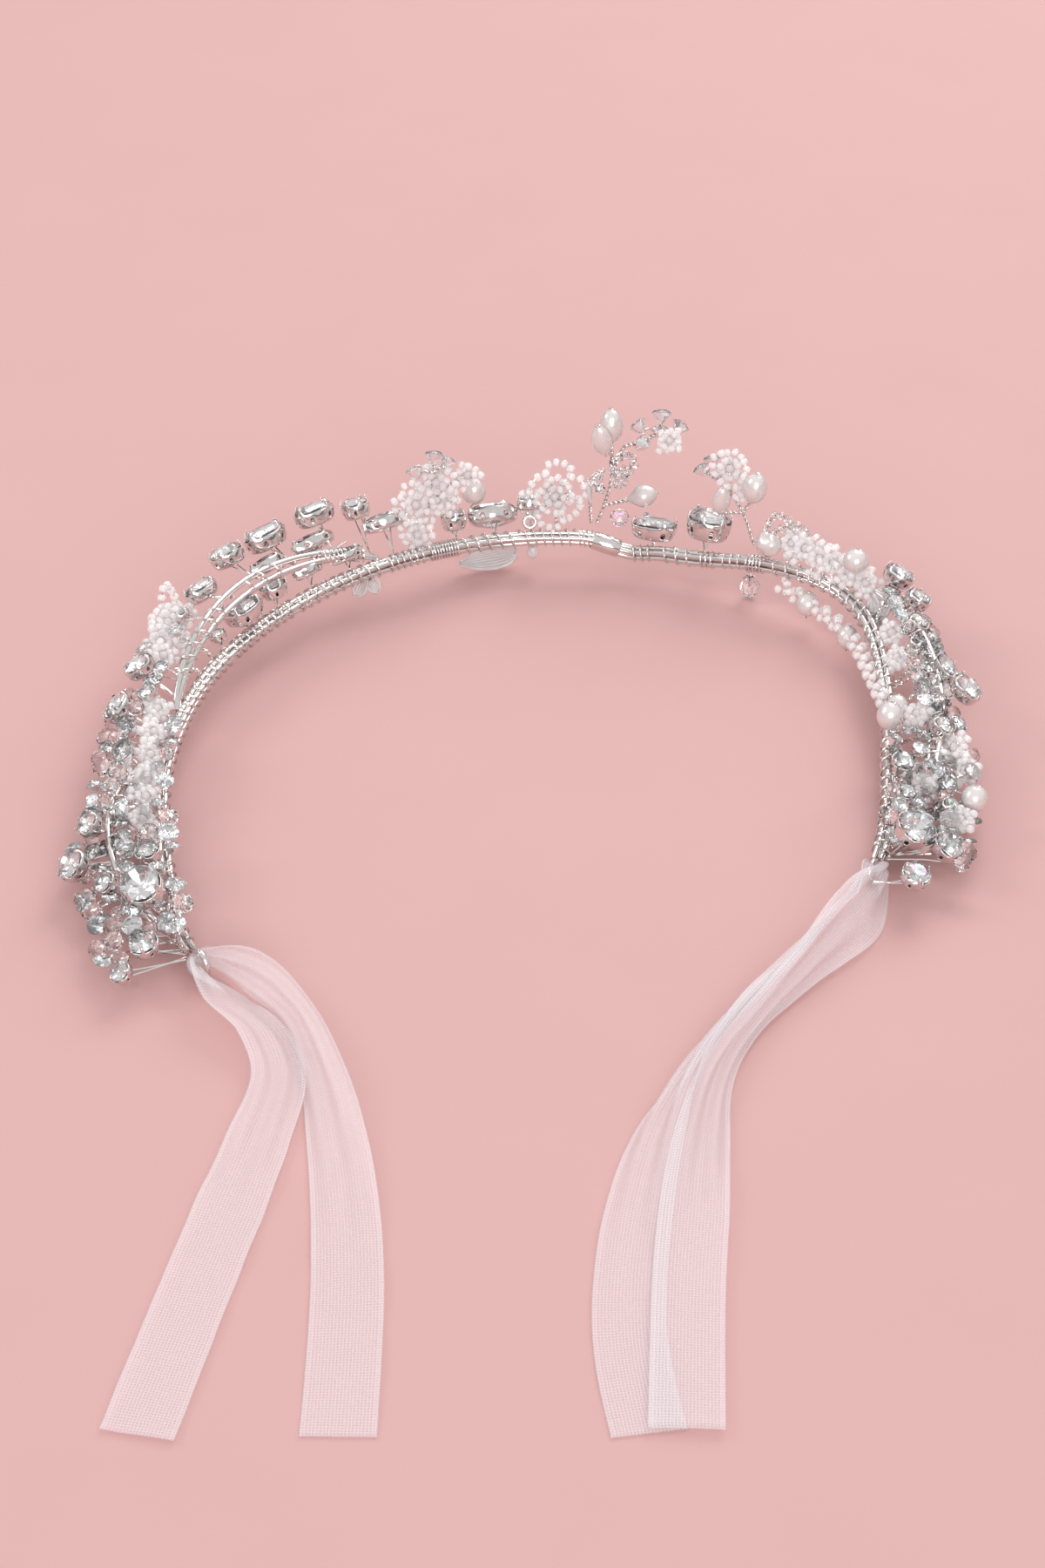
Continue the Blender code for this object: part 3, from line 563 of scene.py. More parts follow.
def make_seed_glass(colours):
    """Seed-bead glass: milky, half clear, with a wet gloss; a faint painted glow stands in for light
    scattered inside it.
    """
    # The pinkish emission is a painted glow, not a lamp: it brightens the beads as if light were scattered
    # inside them
    tree, shader = new_material("seed_glass", IOR=1.5, Alpha=0.56, Coat_Weight=1.0,
                                Coat_Roughness=0.03, Subsurface_Weight=0.7,
                                Subsurface_Scale=1.5 * MM, Subsurface_Radius=(1, 1, 1),
                                Emission_Color=(1.0, 0.9, 0.9, 1.0), Emission_Strength=0.1)
    surfaced(tree, shader, speckle(tree, 1.3), (darker(colours.seed_glass, 0.93), colours.seed_glass),
             gloss=speckle(tree, 0.8, 0.06, 0.2))


def make_petal_acrylic(colours):
    """Moulded clear acrylic petals: ribbed, faintly pink and slightly hazed."""
    tree, shader = new_material("petal_acrylic", IOR=1.49, Transmission_Weight=0.4, Coat_Weight=0.5)
    surfaced(tree, shader, speckle(tree, 2.0), (darker(colours.seed_glass, 0.95), colours.crystal),
             gloss=speckle(tree, 1.0, 0.08, 0.2))


def make_organza(colours):
    """Plain-woven organza: fine even threads with open gaps, and a closer selvedge along both edges."""
    tree, shader = new_material("organza_weave", IOR=1.45, Sheen_Weight=0.5, Sheen_Roughness=0.4,
                                Roughness=0.55)
    cloth = add_node(tree, "ShaderNodeUVMap", uv_map="cloth").outputs["UV"]
    threads = [add_node(tree, "ShaderNodeTexWave", {"Vector": cloth, "Distortion": 0.4, "Detail": 1.0,
                                                    "Scale": WAVES_PER_TURN / THREAD_SPACING},
                        wave_type="BANDS", bands_direction=direction).outputs["Fac"] for direction in "XY"]
    height = add_node(tree, "ShaderNodeMath", {0: threads[0], 1: threads[1]}, operation="MAXIMUM").outputs[0]
    parts = add_node(tree, "ShaderNodeSeparateXYZ", {"Vector": cloth})
    from_middle = add_node(tree, "ShaderNodeMath", {0: parts.outputs["Y"]}, operation="ABSOLUTE").outputs[0]
    edge = add_node(tree, "ShaderNodeMapRange", {"Value": from_middle, "From Min": SELVEDGE[0],
                                                 "From Max": SELVEDGE[1], "To Min": 0.0, "To Max": 0.06})
    cover = add_node(tree, "ShaderNodeMapRange", {"Value": height, "From Min": 0.2, "From Max": 0.9,
                                                  "To Min": 0.15, "To Max": 0.3})
    total = add_node(tree, "ShaderNodeMath", {0: cover.outputs["Result"], 1: edge.outputs["Result"]},
                     operation="ADD", use_clamp=True)
    tree.links.new(total.outputs[0], shader.inputs["Alpha"])
    surfaced(tree, shader, height, (darker(colours.organza, 0.95), colours.organza), height=height,
             relief_mm=0.04, strength=0.4)


def make_card(colours):
    """Matt card: one even colour with the faintest mottle."""
    tree, shader = new_material("matt_card", Roughness=0.7, Specular_IOR_Level=0.3)
    surfaced(tree, shader, speckle(tree, 30.0), (darker(colours.floor, 0.985), colours.floor),
             height=speckle(tree, 0.6), relief_mm=0.02, strength=0.3)


# Stones, cups and beads

def outline(kind, length, width, sides):
    """A flat outline round the origin, anticlockwise, with its length along X."""
    points = []
    for index in range(sides):
        angle = 2 * math.pi * (index + 0.5) / sides
        x, y = math.cos(angle), math.sin(angle)
        if kind == "octagon":
            x, y = (math.copysign(min(abs(part) * 1.18, 1.0), part) for part in (x, y))
        elif kind == "marquise":
            y *= 1.0 - 0.42 * abs(x)
        elif kind == "pear":
            y *= 1.0 - 0.45 * max(x, 0.0)
        points.append(Vector((x * length / 2, y * width / 2, 0.0)))
    return points


def cut_stone(kind, length, width, deep=0.42, coated=False):
    """A brilliant-cut stone, girdle at height 0: crystal crown over a foiled point."""
    girdle, shoulder, table = (outline(kind, length, width, sides) for sides in (16, 8, 8))
    bm = bmesh.new()
    turn = Matrix.Rotation(math.radians(22.5), 3, "Z") if kind == "round" else Matrix.Identity(3)
    for point in girdle:
        bm.verts.new(point)
        bm.verts.new(point * 0.99 - Vector((0, 0, 0.035 * width)))
    for point in shoulder:
        bm.verts.new(turn @ point * 0.84 + Vector((0, 0, 0.1 * width)))
    for point in table:
        bm.verts.new(point * 0.58 + Vector((0, 0, 0.155 * width)))
        bm.verts.new(turn @ point * 0.5 - Vector((0, 0, deep * 0.6 * width)))
    bm.verts.new((0, 0, -deep * width))
    bmesh.ops.convex_hull(bm, input=bm.verts)
    loose = [vert for vert in bm.verts if not vert.link_faces]
    bmesh.ops.delete(bm, geom=loose, context="VERTS")
    bmesh.ops.dissolve_limit(bm, angle_limit=math.radians(1.0), verts=bm.verts, edges=bm.edges)
    bmesh.ops.recalc_face_normals(bm, faces=bm.faces)
    for face in bm.faces:
        if face.calc_center_median().z < -0.02 * width:
            face.material_index = 1
    clear = "coated_crystal" if coated else "cut_crystal"
    return flat_mesh(bm, "stone", [clear, clear if kind == "marquise" else "mirror_foil"])


def claw_cup(kind, length, width, depth):
    """An open stamped cup with drop-shaped side holes and claws over the rim; its floor is at height 0."""
    sides = 24
    points = outline(kind, length, width, sides)
    bm = bmesh.new()
    rings = []
    levels = ((0.45, 0.02), (0.78, 0.0), (0.93, 0.22), (1.0, 0.6), (1.02, 0.9))
    for scale, level in levels:
        rings.append([bm.verts.new(point * scale + Vector((0, 0, level * depth))) for point in points])
    for ring in rings:
        for pair in zip(ring, ring[1:] + ring[:1]):
            bm.edges.new(pair)
    for low, high in zip(rings, rings[1:]):
        edges = [edge for edge in bm.edges if all(vert in low or vert in high for vert in edge.verts)]
        bmesh.ops.bridge_loops(bm, edges=edges)
    if kind != "marquise":
        bm.faces.new(rings[0][::-1])
    claw_step = 4 if kind == "round" else 6
    for index in range(sides):
        first, second = rings[4][index], rings[4][(index + 1) % sides]
        if index % claw_step == 1:
            edge = bm.edges.get((first, second))
            for scale, level in ((1.0, 1.2), (0.84, 1.42)):
                made = bmesh.ops.extrude_edge_only(bm, edges=[edge])["geom"]
                edge = next(part for part in made if isinstance(part, bmesh.types.BMEdge)
                            and all(vert in made for vert in part.verts))
                tip = sum((vert.co for vert in edge.verts), Vector()) / 2
                spread = 0.7 if level > 1.3 else 0.92
                middle = (points[index] + points[(index + 1) % sides]) / 2 * scale
                middle.z = level * depth
                for vert in edge.verts:
                    vert.co = middle + (vert.co - tip) * spread
    holes = []
    for index in range(sides):
        if index % 4 == 3:
            low, high = rings[2], rings[3]
            corners = [low[index], low[(index + 1) % sides], high[(index + 1) % sides], high[index]]
            face = next((item for item in corners[0].link_faces
                         if set(item.verts) == set(corners)), None)
            if face:
                holes.append(face)
                top = (corners[2].co + corners[3].co) / 2
                for vert in corners[2:]:
                    vert.co = vert.co.lerp(top, 0.45)
    bmesh.ops.delete(bm, geom=holes, context="FACES")
    bmesh.ops.recalc_face_normals(bm, faces=bm.faces)
    return mesh_from(bm, "cup", ["stamped_silver", "silver_plate"])


def set_jewel(name, kind, length, width, depth, place, body, coated=False, replaces=((), ())):
    """A cup and the stone that it holds, as two pieces; replaces names the cup's nodes and the stone's."""
    sizes = bpy.context.scene.crown_sizes
    cup = claw_cup(kind, length, width, depth)
    cup.transform(place)
    cup_piece = piece_from(cup, f"{name}_claw_cup", body, replaces[0])
    wall = cup_piece.modifiers.new("wall", "SOLIDIFY")
    wall.thickness = sizes.cup_wall
    wall.offset = -1.0
    soften = cup_piece.modifiers.new("soften", "SUBSURF")
    soften.levels = soften.render_levels = 1
    inner = 1.0 - 2.4 * sizes.cup_wall / width
    deep = min(0.42, 0.8 * depth / width)
    stone = cut_stone(kind, length * inner, width * inner, deep=deep, coated=coated)
    stone.transform(place @ Matrix.Translation((0, 0, depth * 1.02)))
    piece_from(stone, f"{name}_cut_stone", body, replaces[1])


def egg_mesh(size, material, seed, roughness, tip):
    """A rounded bead of the given X, Y and Z sizes; tip draws its top to a point."""
    bm = bmesh.new()
    bmesh.ops.create_uvsphere(bm, u_segments=28, v_segments=16, radius=0.5)
    for vert in bm.verts:
        level = vert.co.z * 2
        pinch = 1.0 - tip * max(level, 0.0) ** 1.3
        ripple = 1.0 + roughness * noise.noise(vert.co * 3.1 + Vector((seed, seed, seed)))
        vert.co = Vector((vert.co.x * pinch, vert.co.y * pinch, vert.co.z * (1 + 0.15 * tip))) * ripple
    bmesh.ops.scale(bm, vec=Vector(size), verts=bm.verts)
    return mesh_from(bm, "egg", [material])


def drilled_pearl(name, node_or_point, size, body, direction=(0, 0, 1), replaces=(), roughness=0.03, tip=0.0,
                  seed=1.0, material="pearl_nacre", spin=0.0):
    """A pearl with the looped end of its wire showing at each drilled tip, as one piece."""
    point = middle_of(node_or_point) if isinstance(node_or_point, str) else node_or_point
    place = aimed(point, direction, spin)
    body_mesh = egg_mesh([part * MM for part in size], material, seed, roughness, tip)
    reach = size[2] / 2 * MM * (1.0 + 0.15 * tip)
    half = Vector((0, 0, reach))
    pin = wire_mesh([[-half * 1.12, -half * 0.9, half * 0.9, half * 1.1]], 0.5 * MM, bevel=1)
    collar = turned([(0.25 * MM, reach * 0.95), (0.6 * MM, reach * 0.94), (0.6 * MM, reach * 1.02),
                     (0.25 * MM, reach * 1.03)], 10, "collar", ["silver_plate"])
    for mesh in (pin, collar):
        mesh.polygons.foreach_set("material_index", [1] * len(mesh.polygons))
    joined = merged([body_mesh, pin, collar], name, [material, "silver_plate"])
    joined.transform(place)
    for mesh in (body_mesh, pin, collar):
        bpy.data.meshes.remove(mesh)
    return piece_from(joined, name, body, replaces)


def faceted_mesh(size, material):
    """A rondelle cut all over in flat facets; size is its X, Y and Z in millimetres."""
    bm = bmesh.new()
    rings = ((0.30, -0.5), (0.78, -0.30), (1.0, -0.07), (1.0, 0.07), (0.78, 0.30), (0.30, 0.5))
    sides = 10
    for number, (scale, level) in enumerate(rings):
        for index in range(sides):
            turn = 2 * math.pi * (index + 0.5 * (number in (1, 4))) / sides
            bm.verts.new((math.cos(turn) * scale * size[0] * MM / 2,
                          math.sin(turn) * scale * size[1] * MM / 2, level * size[2] * MM))
    bmesh.ops.convex_hull(bm, input=bm.verts)
    bmesh.ops.dissolve_limit(bm, angle_limit=math.radians(1.0), verts=bm.verts, edges=bm.edges)
    bmesh.ops.recalc_face_normals(bm, faces=bm.faces)
    return flat_mesh(bm, "rondelle", [material])


def faceted_bead(name, point, size, body, replaces=(), direction=(0, 0, 1), coated=False):
    """A faceted bead on its own, clear or rainbow-coated; size is in millimetres."""
    mesh = faceted_mesh(size, "coated_crystal" if coated else "cut_crystal")
    mesh.transform(aimed(point, direction))
    return piece_from(mesh, name, body, replaces)


def chatons(name, places, body):
    """Pointed rhinestones on the ends of stems, as one piece; each place is a point, a facing and a size."""
    bm = bmesh.new()
    for number, (point, facing, size) in enumerate(places):
        mesh = cut_stone("round", size, size, deep=0.62)
        mesh.transform(aimed(point, facing, 17.0 * number))
        bm.from_mesh(mesh)
        bpy.data.meshes.remove(mesh)
    return piece_from(flat_mesh(bm, name, ["cut_crystal", "mirror_foil"]), name, body)


# Operators

class CROWN_OT_stage(bpy.types.Operator):
    """Make the floor, the light and the camera"""
    bl_idname = "crown.stage"
    bl_label = "Make Stage"

    def execute(self, context):
        scene = context.scene
        camera_data = bpy.data.cameras.new("camera")
        camera_data.lens = VIEW_LENS
        camera = bpy.data.objects.new("camera", camera_data)
        scene.collection.objects.link(camera)
        rise = math.radians(VIEW_ELEVATION)
        camera.location = VIEW_TARGET + VIEW_DISTANCE * Vector((0.0, -math.cos(rise), math.sin(rise)))
        camera.rotation_euler = (VIEW_TARGET - camera.location).to_track_quat("-Z", "Y").to_euler()
        scene.camera = camera
        scene.view_settings.view_transform = "Standard"
        bm = bmesh.new()
        bmesh.ops.create_grid(bm, x_segments=1, y_segments=1, size=FLOOR_HALF)
        floor = bpy.data.objects.new("floor", mesh_from(bm, "floor", ["matt_card"]))
        scene.collection.objects.link(floor)
        world = bpy.data.worlds.new("studio")
        scene.world = world
        world.use_nodes = True
        tree = world.node_tree
        height = add_node(tree, "ShaderNodeSeparateXYZ",
                          {"Vector": add_node(tree, "ShaderNodeTexCoord").outputs["Generated"]})
        ramp = add_node(tree, "ShaderNodeValToRGB", {"Fac": height.outputs["Z"]})
        for number, (position, colour) in enumerate(SKY):
            stop = ramp.color_ramp.elements[number] if number < 2 else ramp.color_ramp.elements.new(position)
            stop.position = position
            stop.color = (*colour, 1.0)
        seen = add_node(tree, "ShaderNodeLightPath").outputs["Is Camera Ray"]
        sky = add_node(tree, "ShaderNodeMix", {0: seen, 6: ramp.outputs["Color"], 7: (*HORIZON, 1.0)},
                       data_type="RGBA")
        tree.links.new(sky.outputs[2], tree.nodes["Background"].inputs["Color"])
        tree.nodes["Background"].inputs["Strength"].default_value = SKY_STRENGTH
        for name, place, size, power in SOFTBOXES:
            light_data = bpy.data.lights.new(name, "AREA")
            light_data.size = size
            light_data.energy = power
            light = bpy.data.objects.new(name, light_data)
            light.location = place
            light.rotation_euler = (-Vector(place)).to_track_quat("-Z", "Y").to_euler()
            scene.collection.objects.link(light)
        return {"FINISHED"}


class CROWN_OT_rails(bpy.types.Operator):
    """Make the rail wires, the bowed upper wires, the join ferrule and the end rings"""
    bl_idname = "crown.rails"
    bl_label = "Make Rails"

    def execute(self, context):
        sizes = context.scene.crown_sizes
        routes = []
        for number in range(4):
            route = []
            for index in range(RAIL_STATIONS):
                station = LEFT_END + (RIGHT_END - LEFT_END) * index / (RAIL_STATIONS - 1)
                spread = RAIL_SPREAD + 0.1 * swell(station, 24.0, 9.0)
                turn = math.radians(52 + 90 * number + 14 * math.sin(station * 0.11 + number))
                lift = rail_lift(station) + spread * math.sin(turn)
                route.append(band(station, spread * math.cos(turn), lift))
            routes.append(route)
        rail = wire_mesh(routes, sizes.rail_wire, bevel=2)
        rail_piece = piece_from(rail, "rail_wires", None, (
            "inner_rail_left", "outer_rail_left", "inner_rail_right", "outer_rail_right"))
        band(11.3)
        band(15.7)
        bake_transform(rail_piece)
        for name, bow, node in (("upper_wires_left", UPPER_LEFT, "upper_rail_left"),
                                ("rear_upper_wires_left", UPPER_REAR_LEFT, "rear_upper_rail_left"),
                                ("upper_wires_right", UPPER_RIGHT, "upper_rail_right")):
            pair = [upper_route(bow, shift) for shift in (0.0, 1.0)]
            piece_from(wire_mesh(pair, sizes.upper_wire, bevel=3), name, body_at(bow[0]), (node,))
        ferrule = turned([(1.5 * MM, -3.0 * MM), (1.8 * MM, -3.1 * MM), (2.0 * MM, -2.8 * MM),
                          (2.06 * MM, 0.0), (2.0 * MM, 2.8 * MM), (1.8 * MM, 3.1 * MM), (1.5 * MM, 3.0 * MM)],
                         28, "join_ferrule", ["silver_plate"], sharp=50)
        middle = middle_of("join_sleeve")
        ferrule.transform(aimed(middle, forward(11.5) + Vector((0, 0, -0.3))))
        piece_from(ferrule, "join_ferrule", "left_band", ("join_sleeve",))
        for side, end in (("left", LEFT_END), ("right", RIGHT_END)):
            centre = middle_of(f"end_eye_{side}")
            ring = turned([(2.35 * MM + 0.55 * MM * math.cos(turn), 0.55 * MM * math.sin(turn))
                           for turn in (2 * math.pi * step / 12 for step in range(12))], 40,
                          "ring", ["silver_plate"])
            ring.transform(aimed(centre, outward(end)))
            piece_from(ring, f"end_ring_{side}", body_at(end), (f"end_eye_{side}",))
        return {"FINISHED"}


def upper_point(bow, station, shift=0.0):
    """A point of a bowed wire; shift 1 is its twin beside and under it."""
    first, last, out, rise = bow
    share = math.sin(math.pi * min(max((station - first) / (last - first), 0.0), 1.0)) ** 0.7
    height = rail_height(station) / MM + 0.9 + (rise - 0.9) * share - 1.5 * shift * share
    return band(station, 1.6 + (out - 1.6) * share - 2.0 * shift * share, height)


def upper_route(bow, shift, start=0.0, end=1.0):
    """A bowed wire that leaves the rail, arches up and outwards and comes back, or a share of it."""
    first, last = bow[:2]
    count = round(abs(last - first) * (end - start) / 1.2)
    return [upper_point(bow, first + (last - first) * (start + (end - start) * index / count), shift)
            for index in range(count + 1)]


def anchor_near(station, out):
    """Where a stem at a station is tied: to a bowed wire where one passes, or else to the rail."""
    for bow in (UPPER_LEFT, UPPER_REAR_LEFT, UPPER_RIGHT):
        first, last = sorted(bow[:2])
        if first + 4.0 < station < last - 4.0 and out > 4.5:
            return upper_point(bow, station, 0.5)
    return band(station, 1.2)


def wrap(first, last, turns, radius_mm=WRAP_RADIUS):
    """Binding wire round the rail: it crosses the near side quickly and travels along the far side."""
    steps = 14
    points = []
    for index in range(steps * turns + 1):
        share = index / steps
        travelled = share + 0.11 * math.sin(2 * math.pi * share)
        station = first + (last - first) * min(max(travelled / turns, 0.0), 1.0)
        turn = 2 * math.pi * (share + 0.25)
        height = rail_lift(station) + radius_mm * math.sin(turn)
        points.append(band(station, radius_mm * math.cos(turn), height))
    return points


class CROWN_OT_bindings(bpy.types.Operator):
    """Wind the fine wire that binds the rails and sews the cups on"""
    bl_idname = "crown.bindings"
    bl_label = "Make Bindings"

    def execute(self, context):
        sizes = context.scene.crown_sizes
        left = [wrap(-129.5, -112, 9), wrap(-111.5, -88, 9, 1.82), wrap(-88, -62, 13),
                wrap(-61, -45, 9, 1.82), wrap(-44, -26, 10), wrap(-25, -18, 6, 1.8),
                wrap(-17.4, -12.4, 10), wrap(-11.6, -2.2, 5), wrap(-1.5, 6.5, 6), wrap(7.0, 9.2, 3)]
        right = [wrap(15.6, 19.0, 3, 1.86), wrap(20.4, 25.8, 3), wrap(26.6, 29.0, 3, 1.82),
                 wrap(30.0, 33.6, 3, 1.6), wrap(34.0, 36.8, 5), wrap(38.0, 58.0, 10),
                 wrap(59.0, 84.0, 12), wrap(85.0, 111.5, 12)]
        for bow, start, end, pitch, routes in (
                (UPPER_LEFT, 0.05, 0.2, 1.1, left), (UPPER_LEFT, 0.34, 0.5, 4.2, left),
                (UPPER_LEFT, 0.62, 0.9, 3.4, left), (UPPER_REAR_LEFT, 0.1, 0.9, 3.8, left),
                (UPPER_RIGHT, 0.1, 0.9, 3.6, right)):
            core = evenly(upper_route(bow, 0.5, start, end), 0.16 * MM)
            routes += wound(core, 1.5 * MM, pitch * MM, strands=1)
        left.append(smooth([band(-31.0, 3.4, 15.6), band(-34.0, 4.8, 13.4), band(-38.0, 4.4, 12.8),
                            band(-42.0, 5.6, 15.6)]))
        piece_from(wire_mesh(left, sizes.binding_wire), "binding_wire_left", "left_band",
                   ("front_binding", "centre_binding"))
        piece_from(wire_mesh(right, sizes.binding_wire), "binding_wire_right", "right_band")
        return {"FINISHED"}


# Set stones that stand for frame nodes: name, kind, length, width, depth, station, tilt, spin, coated
FRAME_JEWELS = (
    ("front_round", "round", 5.6, 5.6, 3.4, -12.2, 24, 0, False),
    ("front_marquise", "marquise", 11.4, 7.6, 3.4, -5.9, 52, 0, False),
    ("front_octagon", "octagon", 9.6, 6.2, 3.6, 18.3, 16, 0, False),
    ("front_large_round", "round", 9.8, 9.8, 4.8, 26.2, 20, 0, False),
    ("left_round", "round", 6.2, 6.2, 3.4, -26.8, 28, 0, False),
    ("left_oval", "oval", 9.6, 6.6, 3.6, -33.2, 28, 0, False),
    ("left_pear", "pear", 10.8, 7.2, 3.8, -41.3, 30, 0, False),
    ("left_octagon", "octagon", 8.6, 6.6, 3.6, -54.4, 20, 0, False),
    ("rear_large_left", "oval", 9.8, 7.8, 3.8, -124.5, 20, 0, False),
)
FRAME_STONES = (
    ("left_ab_stone", 7.6, -49.2, 32, True),
    ("left_side_stone", 6.6, -76.0, 34, False),
    ("rear_outer_stone_left", 6.8, -113.0, 50, True),
    ("right_shoulder_stone", 6.8, 54.5, 34, False),
    ("right_side_stone", 7.0, 80.0, 40, False),
    ("rear_large_right", 8.2, 111.5, 30, False),
)
# How far the front cups sink onto the wound wires of the rail, in millimetres
FRONT_SINK = 1.3
# Further set stones: name, kind, length, width, station, out, up, tilt, spin, coated
MORE_JEWELS = (
    ("front_small_round", "round", 5.4, 5.4, -0.4, 4.8, 13.6, 34, 0, False),
    ("left_marquise", "marquise", 10.4, 5.6, -22.8, 5.2, 14.2, 44, -8, False),
    ("left_under_first", "marquise", 11.0, 5.4, -35.0, 6.4, 14.6, 56, 0, False),
    ("left_under_second", "marquise", 10.0, 5.0, -43.6, 7.4, 14.0, 54, 0, False),
    ("left_gap_first", "marquise", 9.0, 4.6, -31.4, 1.8, 11.9, 40, 0, False),
    ("left_gap_second", "marquise", 8.0, 5.0, -39.0, 2.2, 12.0, 40, 0, False),
    ("left_inner_round", "round", 6.2, 6.2, -46.8, 2.2, 11.6, 22, 0, True),
    ("left_shoulder_oval", "oval", 8.4, 6.0, -55.8, 10.8, 14.2, 34, 0, False),
    ("left_shoulder_small", "round", 4.2, 4.2, -61.6, 10.6, 13.4, 34, 0, False),
    ("left_inner_small", "round", 3.8, 3.8, -61.0, 2.8, 10.6, 22, 0, False),
    ("left_side_oval", "oval", 8.6, 5.4, -84.0, 10.2, 11.2, 42, 0, False),
    ("left_side_small", "round", 4.4, 4.4, -80.6, 5.8, 12.2, 28, 0, False),
    ("left_rear_round", "round", 4.8, 4.8, -93.4, 6.6, 10.0, 30, 0, False),
    ("left_outer_upper", "round", 5.4, 5.4, -108.0, 12.0, 9.2, 45, 0, False),
    ("left_outer_lower", "round", 5.0, 5.0, -118.6, 10.6, 8.0, 45, 0, True),
    ("left_end_inner", "round", 5.0, 5.0, -115.4, 2.8, 8.8, 12, 0, False),
    ("left_end_near", "round", 5.6, 5.6, -130.6, 8.6, 7.0, 16, 0, False),
    ("left_end_outer", "round", 4.4, 4.4, -131.6, 14.0, 5.2, 40, 0, True),
    ("right_shoulder_upper", "round", 5.6, 5.6, 59.9, 9.2, 13.8, 34, 0, False),
    ("right_shoulder_mid", "round", 5.0, 5.0, 64.2, 7.4, 13.0, 30, 0, False),
    ("right_shoulder_lower", "round", 4.8, 4.8, 68.6, 6.2, 12.6, 30, 0, False),
    ("right_side_upper", "oval", 7.4, 5.0, 74.4, 10.6, 12.2, 36, 0, False),
    ("right_side_lower", "round", 5.0, 5.0, 86.8, 8.8, 10.6, 34, 0, False),
    ("right_rear_upper", "oval", 6.4, 4.8, 95.0, 1.8, 9.0, 12, 0, False),
    ("right_rear_mid", "round", 5.4, 5.4, 95.6, 7.2, 8.6, 28, 0, True),
    ("right_rear_low", "round", 4.4, 4.4, 101.4, 2.6, 8.0, 14, 0, False),
    ("right_outer_low", "round", 4.6, 4.6, 102.0, 10.6, 7.0, 40, 0, True),
    ("right_end_near", "round", 5.8, 5.8, 118.0, 8.8, 5.8, 18, 0, True),
    ("right_end_outer", "round", 6.4, 6.4, 110.8, 11.4, 6.6, 35, 0, False),
)


class CROWN_OT_jewels(bpy.types.Operator):
    """Make the claw cups with their cut stones, and the wire that sews them to the rail"""
    bl_idname = "crown.jewels"
    bl_label = "Make Set Stones"

    def execute(self, context):
        lashings = {"left_band": [], "right_band": []}
        jobs = []
        for name, kind, length, width, depth, station, tilt, spin, coated in FRAME_JEWELS:
            lean = seat(Vector(), station, tilt, spin)
            base = middle_of(f"{name}_cup") - lean.col[2].xyz * depth * MM / 2
            jobs.append((name, kind, length, width, depth, seat(base, station, tilt, spin), station, coated,
                         ((f"{name}_cup",), (f"{name}_stone",))))
        for name, size, station, tilt, coated in FRAME_STONES:
            depth = size * 0.42
            base = middle_of(name) - seat(Vector(), station, tilt).col[2].xyz * depth * 0.66 * MM
            jobs.append((name, "round", size, size, depth, seat(base, station, tilt), station, coated,
                         ((), (name,))))
        for name, kind, length, width, station, out, up, tilt, spin, coated in MORE_JEWELS:
            place = seat(band(station, out, up), station, tilt, spin)
            jobs.append((name, kind, length, width, width * 0.48, place, station, coated, ((), ())))
        for name, kind, length, width, depth, place, station, coated, replaced in jobs:
            body = body_at(station)
            place.translation.z -= FRONT_SINK * MM * swell(station, 8.0, 30.0)
            set_jewel(name, kind, length * MM, width * MM, depth * MM, place, body, coated, replaced)
            foot = place.translation
            across = (foot - band(station)).dot(outward(station)) / MM
            anchor = anchor_near(station, across)
            for shift in (-0.9, 0.9):
                end = foot + forward(station) * shift * MM + place.col[2].xyz * 0.5 * MM
                start = anchor - forward(station) * shift * 0.4 * MM
                middle = start.lerp(end, 0.5) + outward(station) * 0.5 * MM
                lashings[body].append(smooth([start, middle, end], 4))
        for body, routes in lashings.items():
            piece_from(wire_mesh(routes, context.scene.crown_sizes.bead_wire * 1.5, bevel=0),
                       f"cup_wires_{body.split('_')[0]}", body)
        return {"FINISHED"}


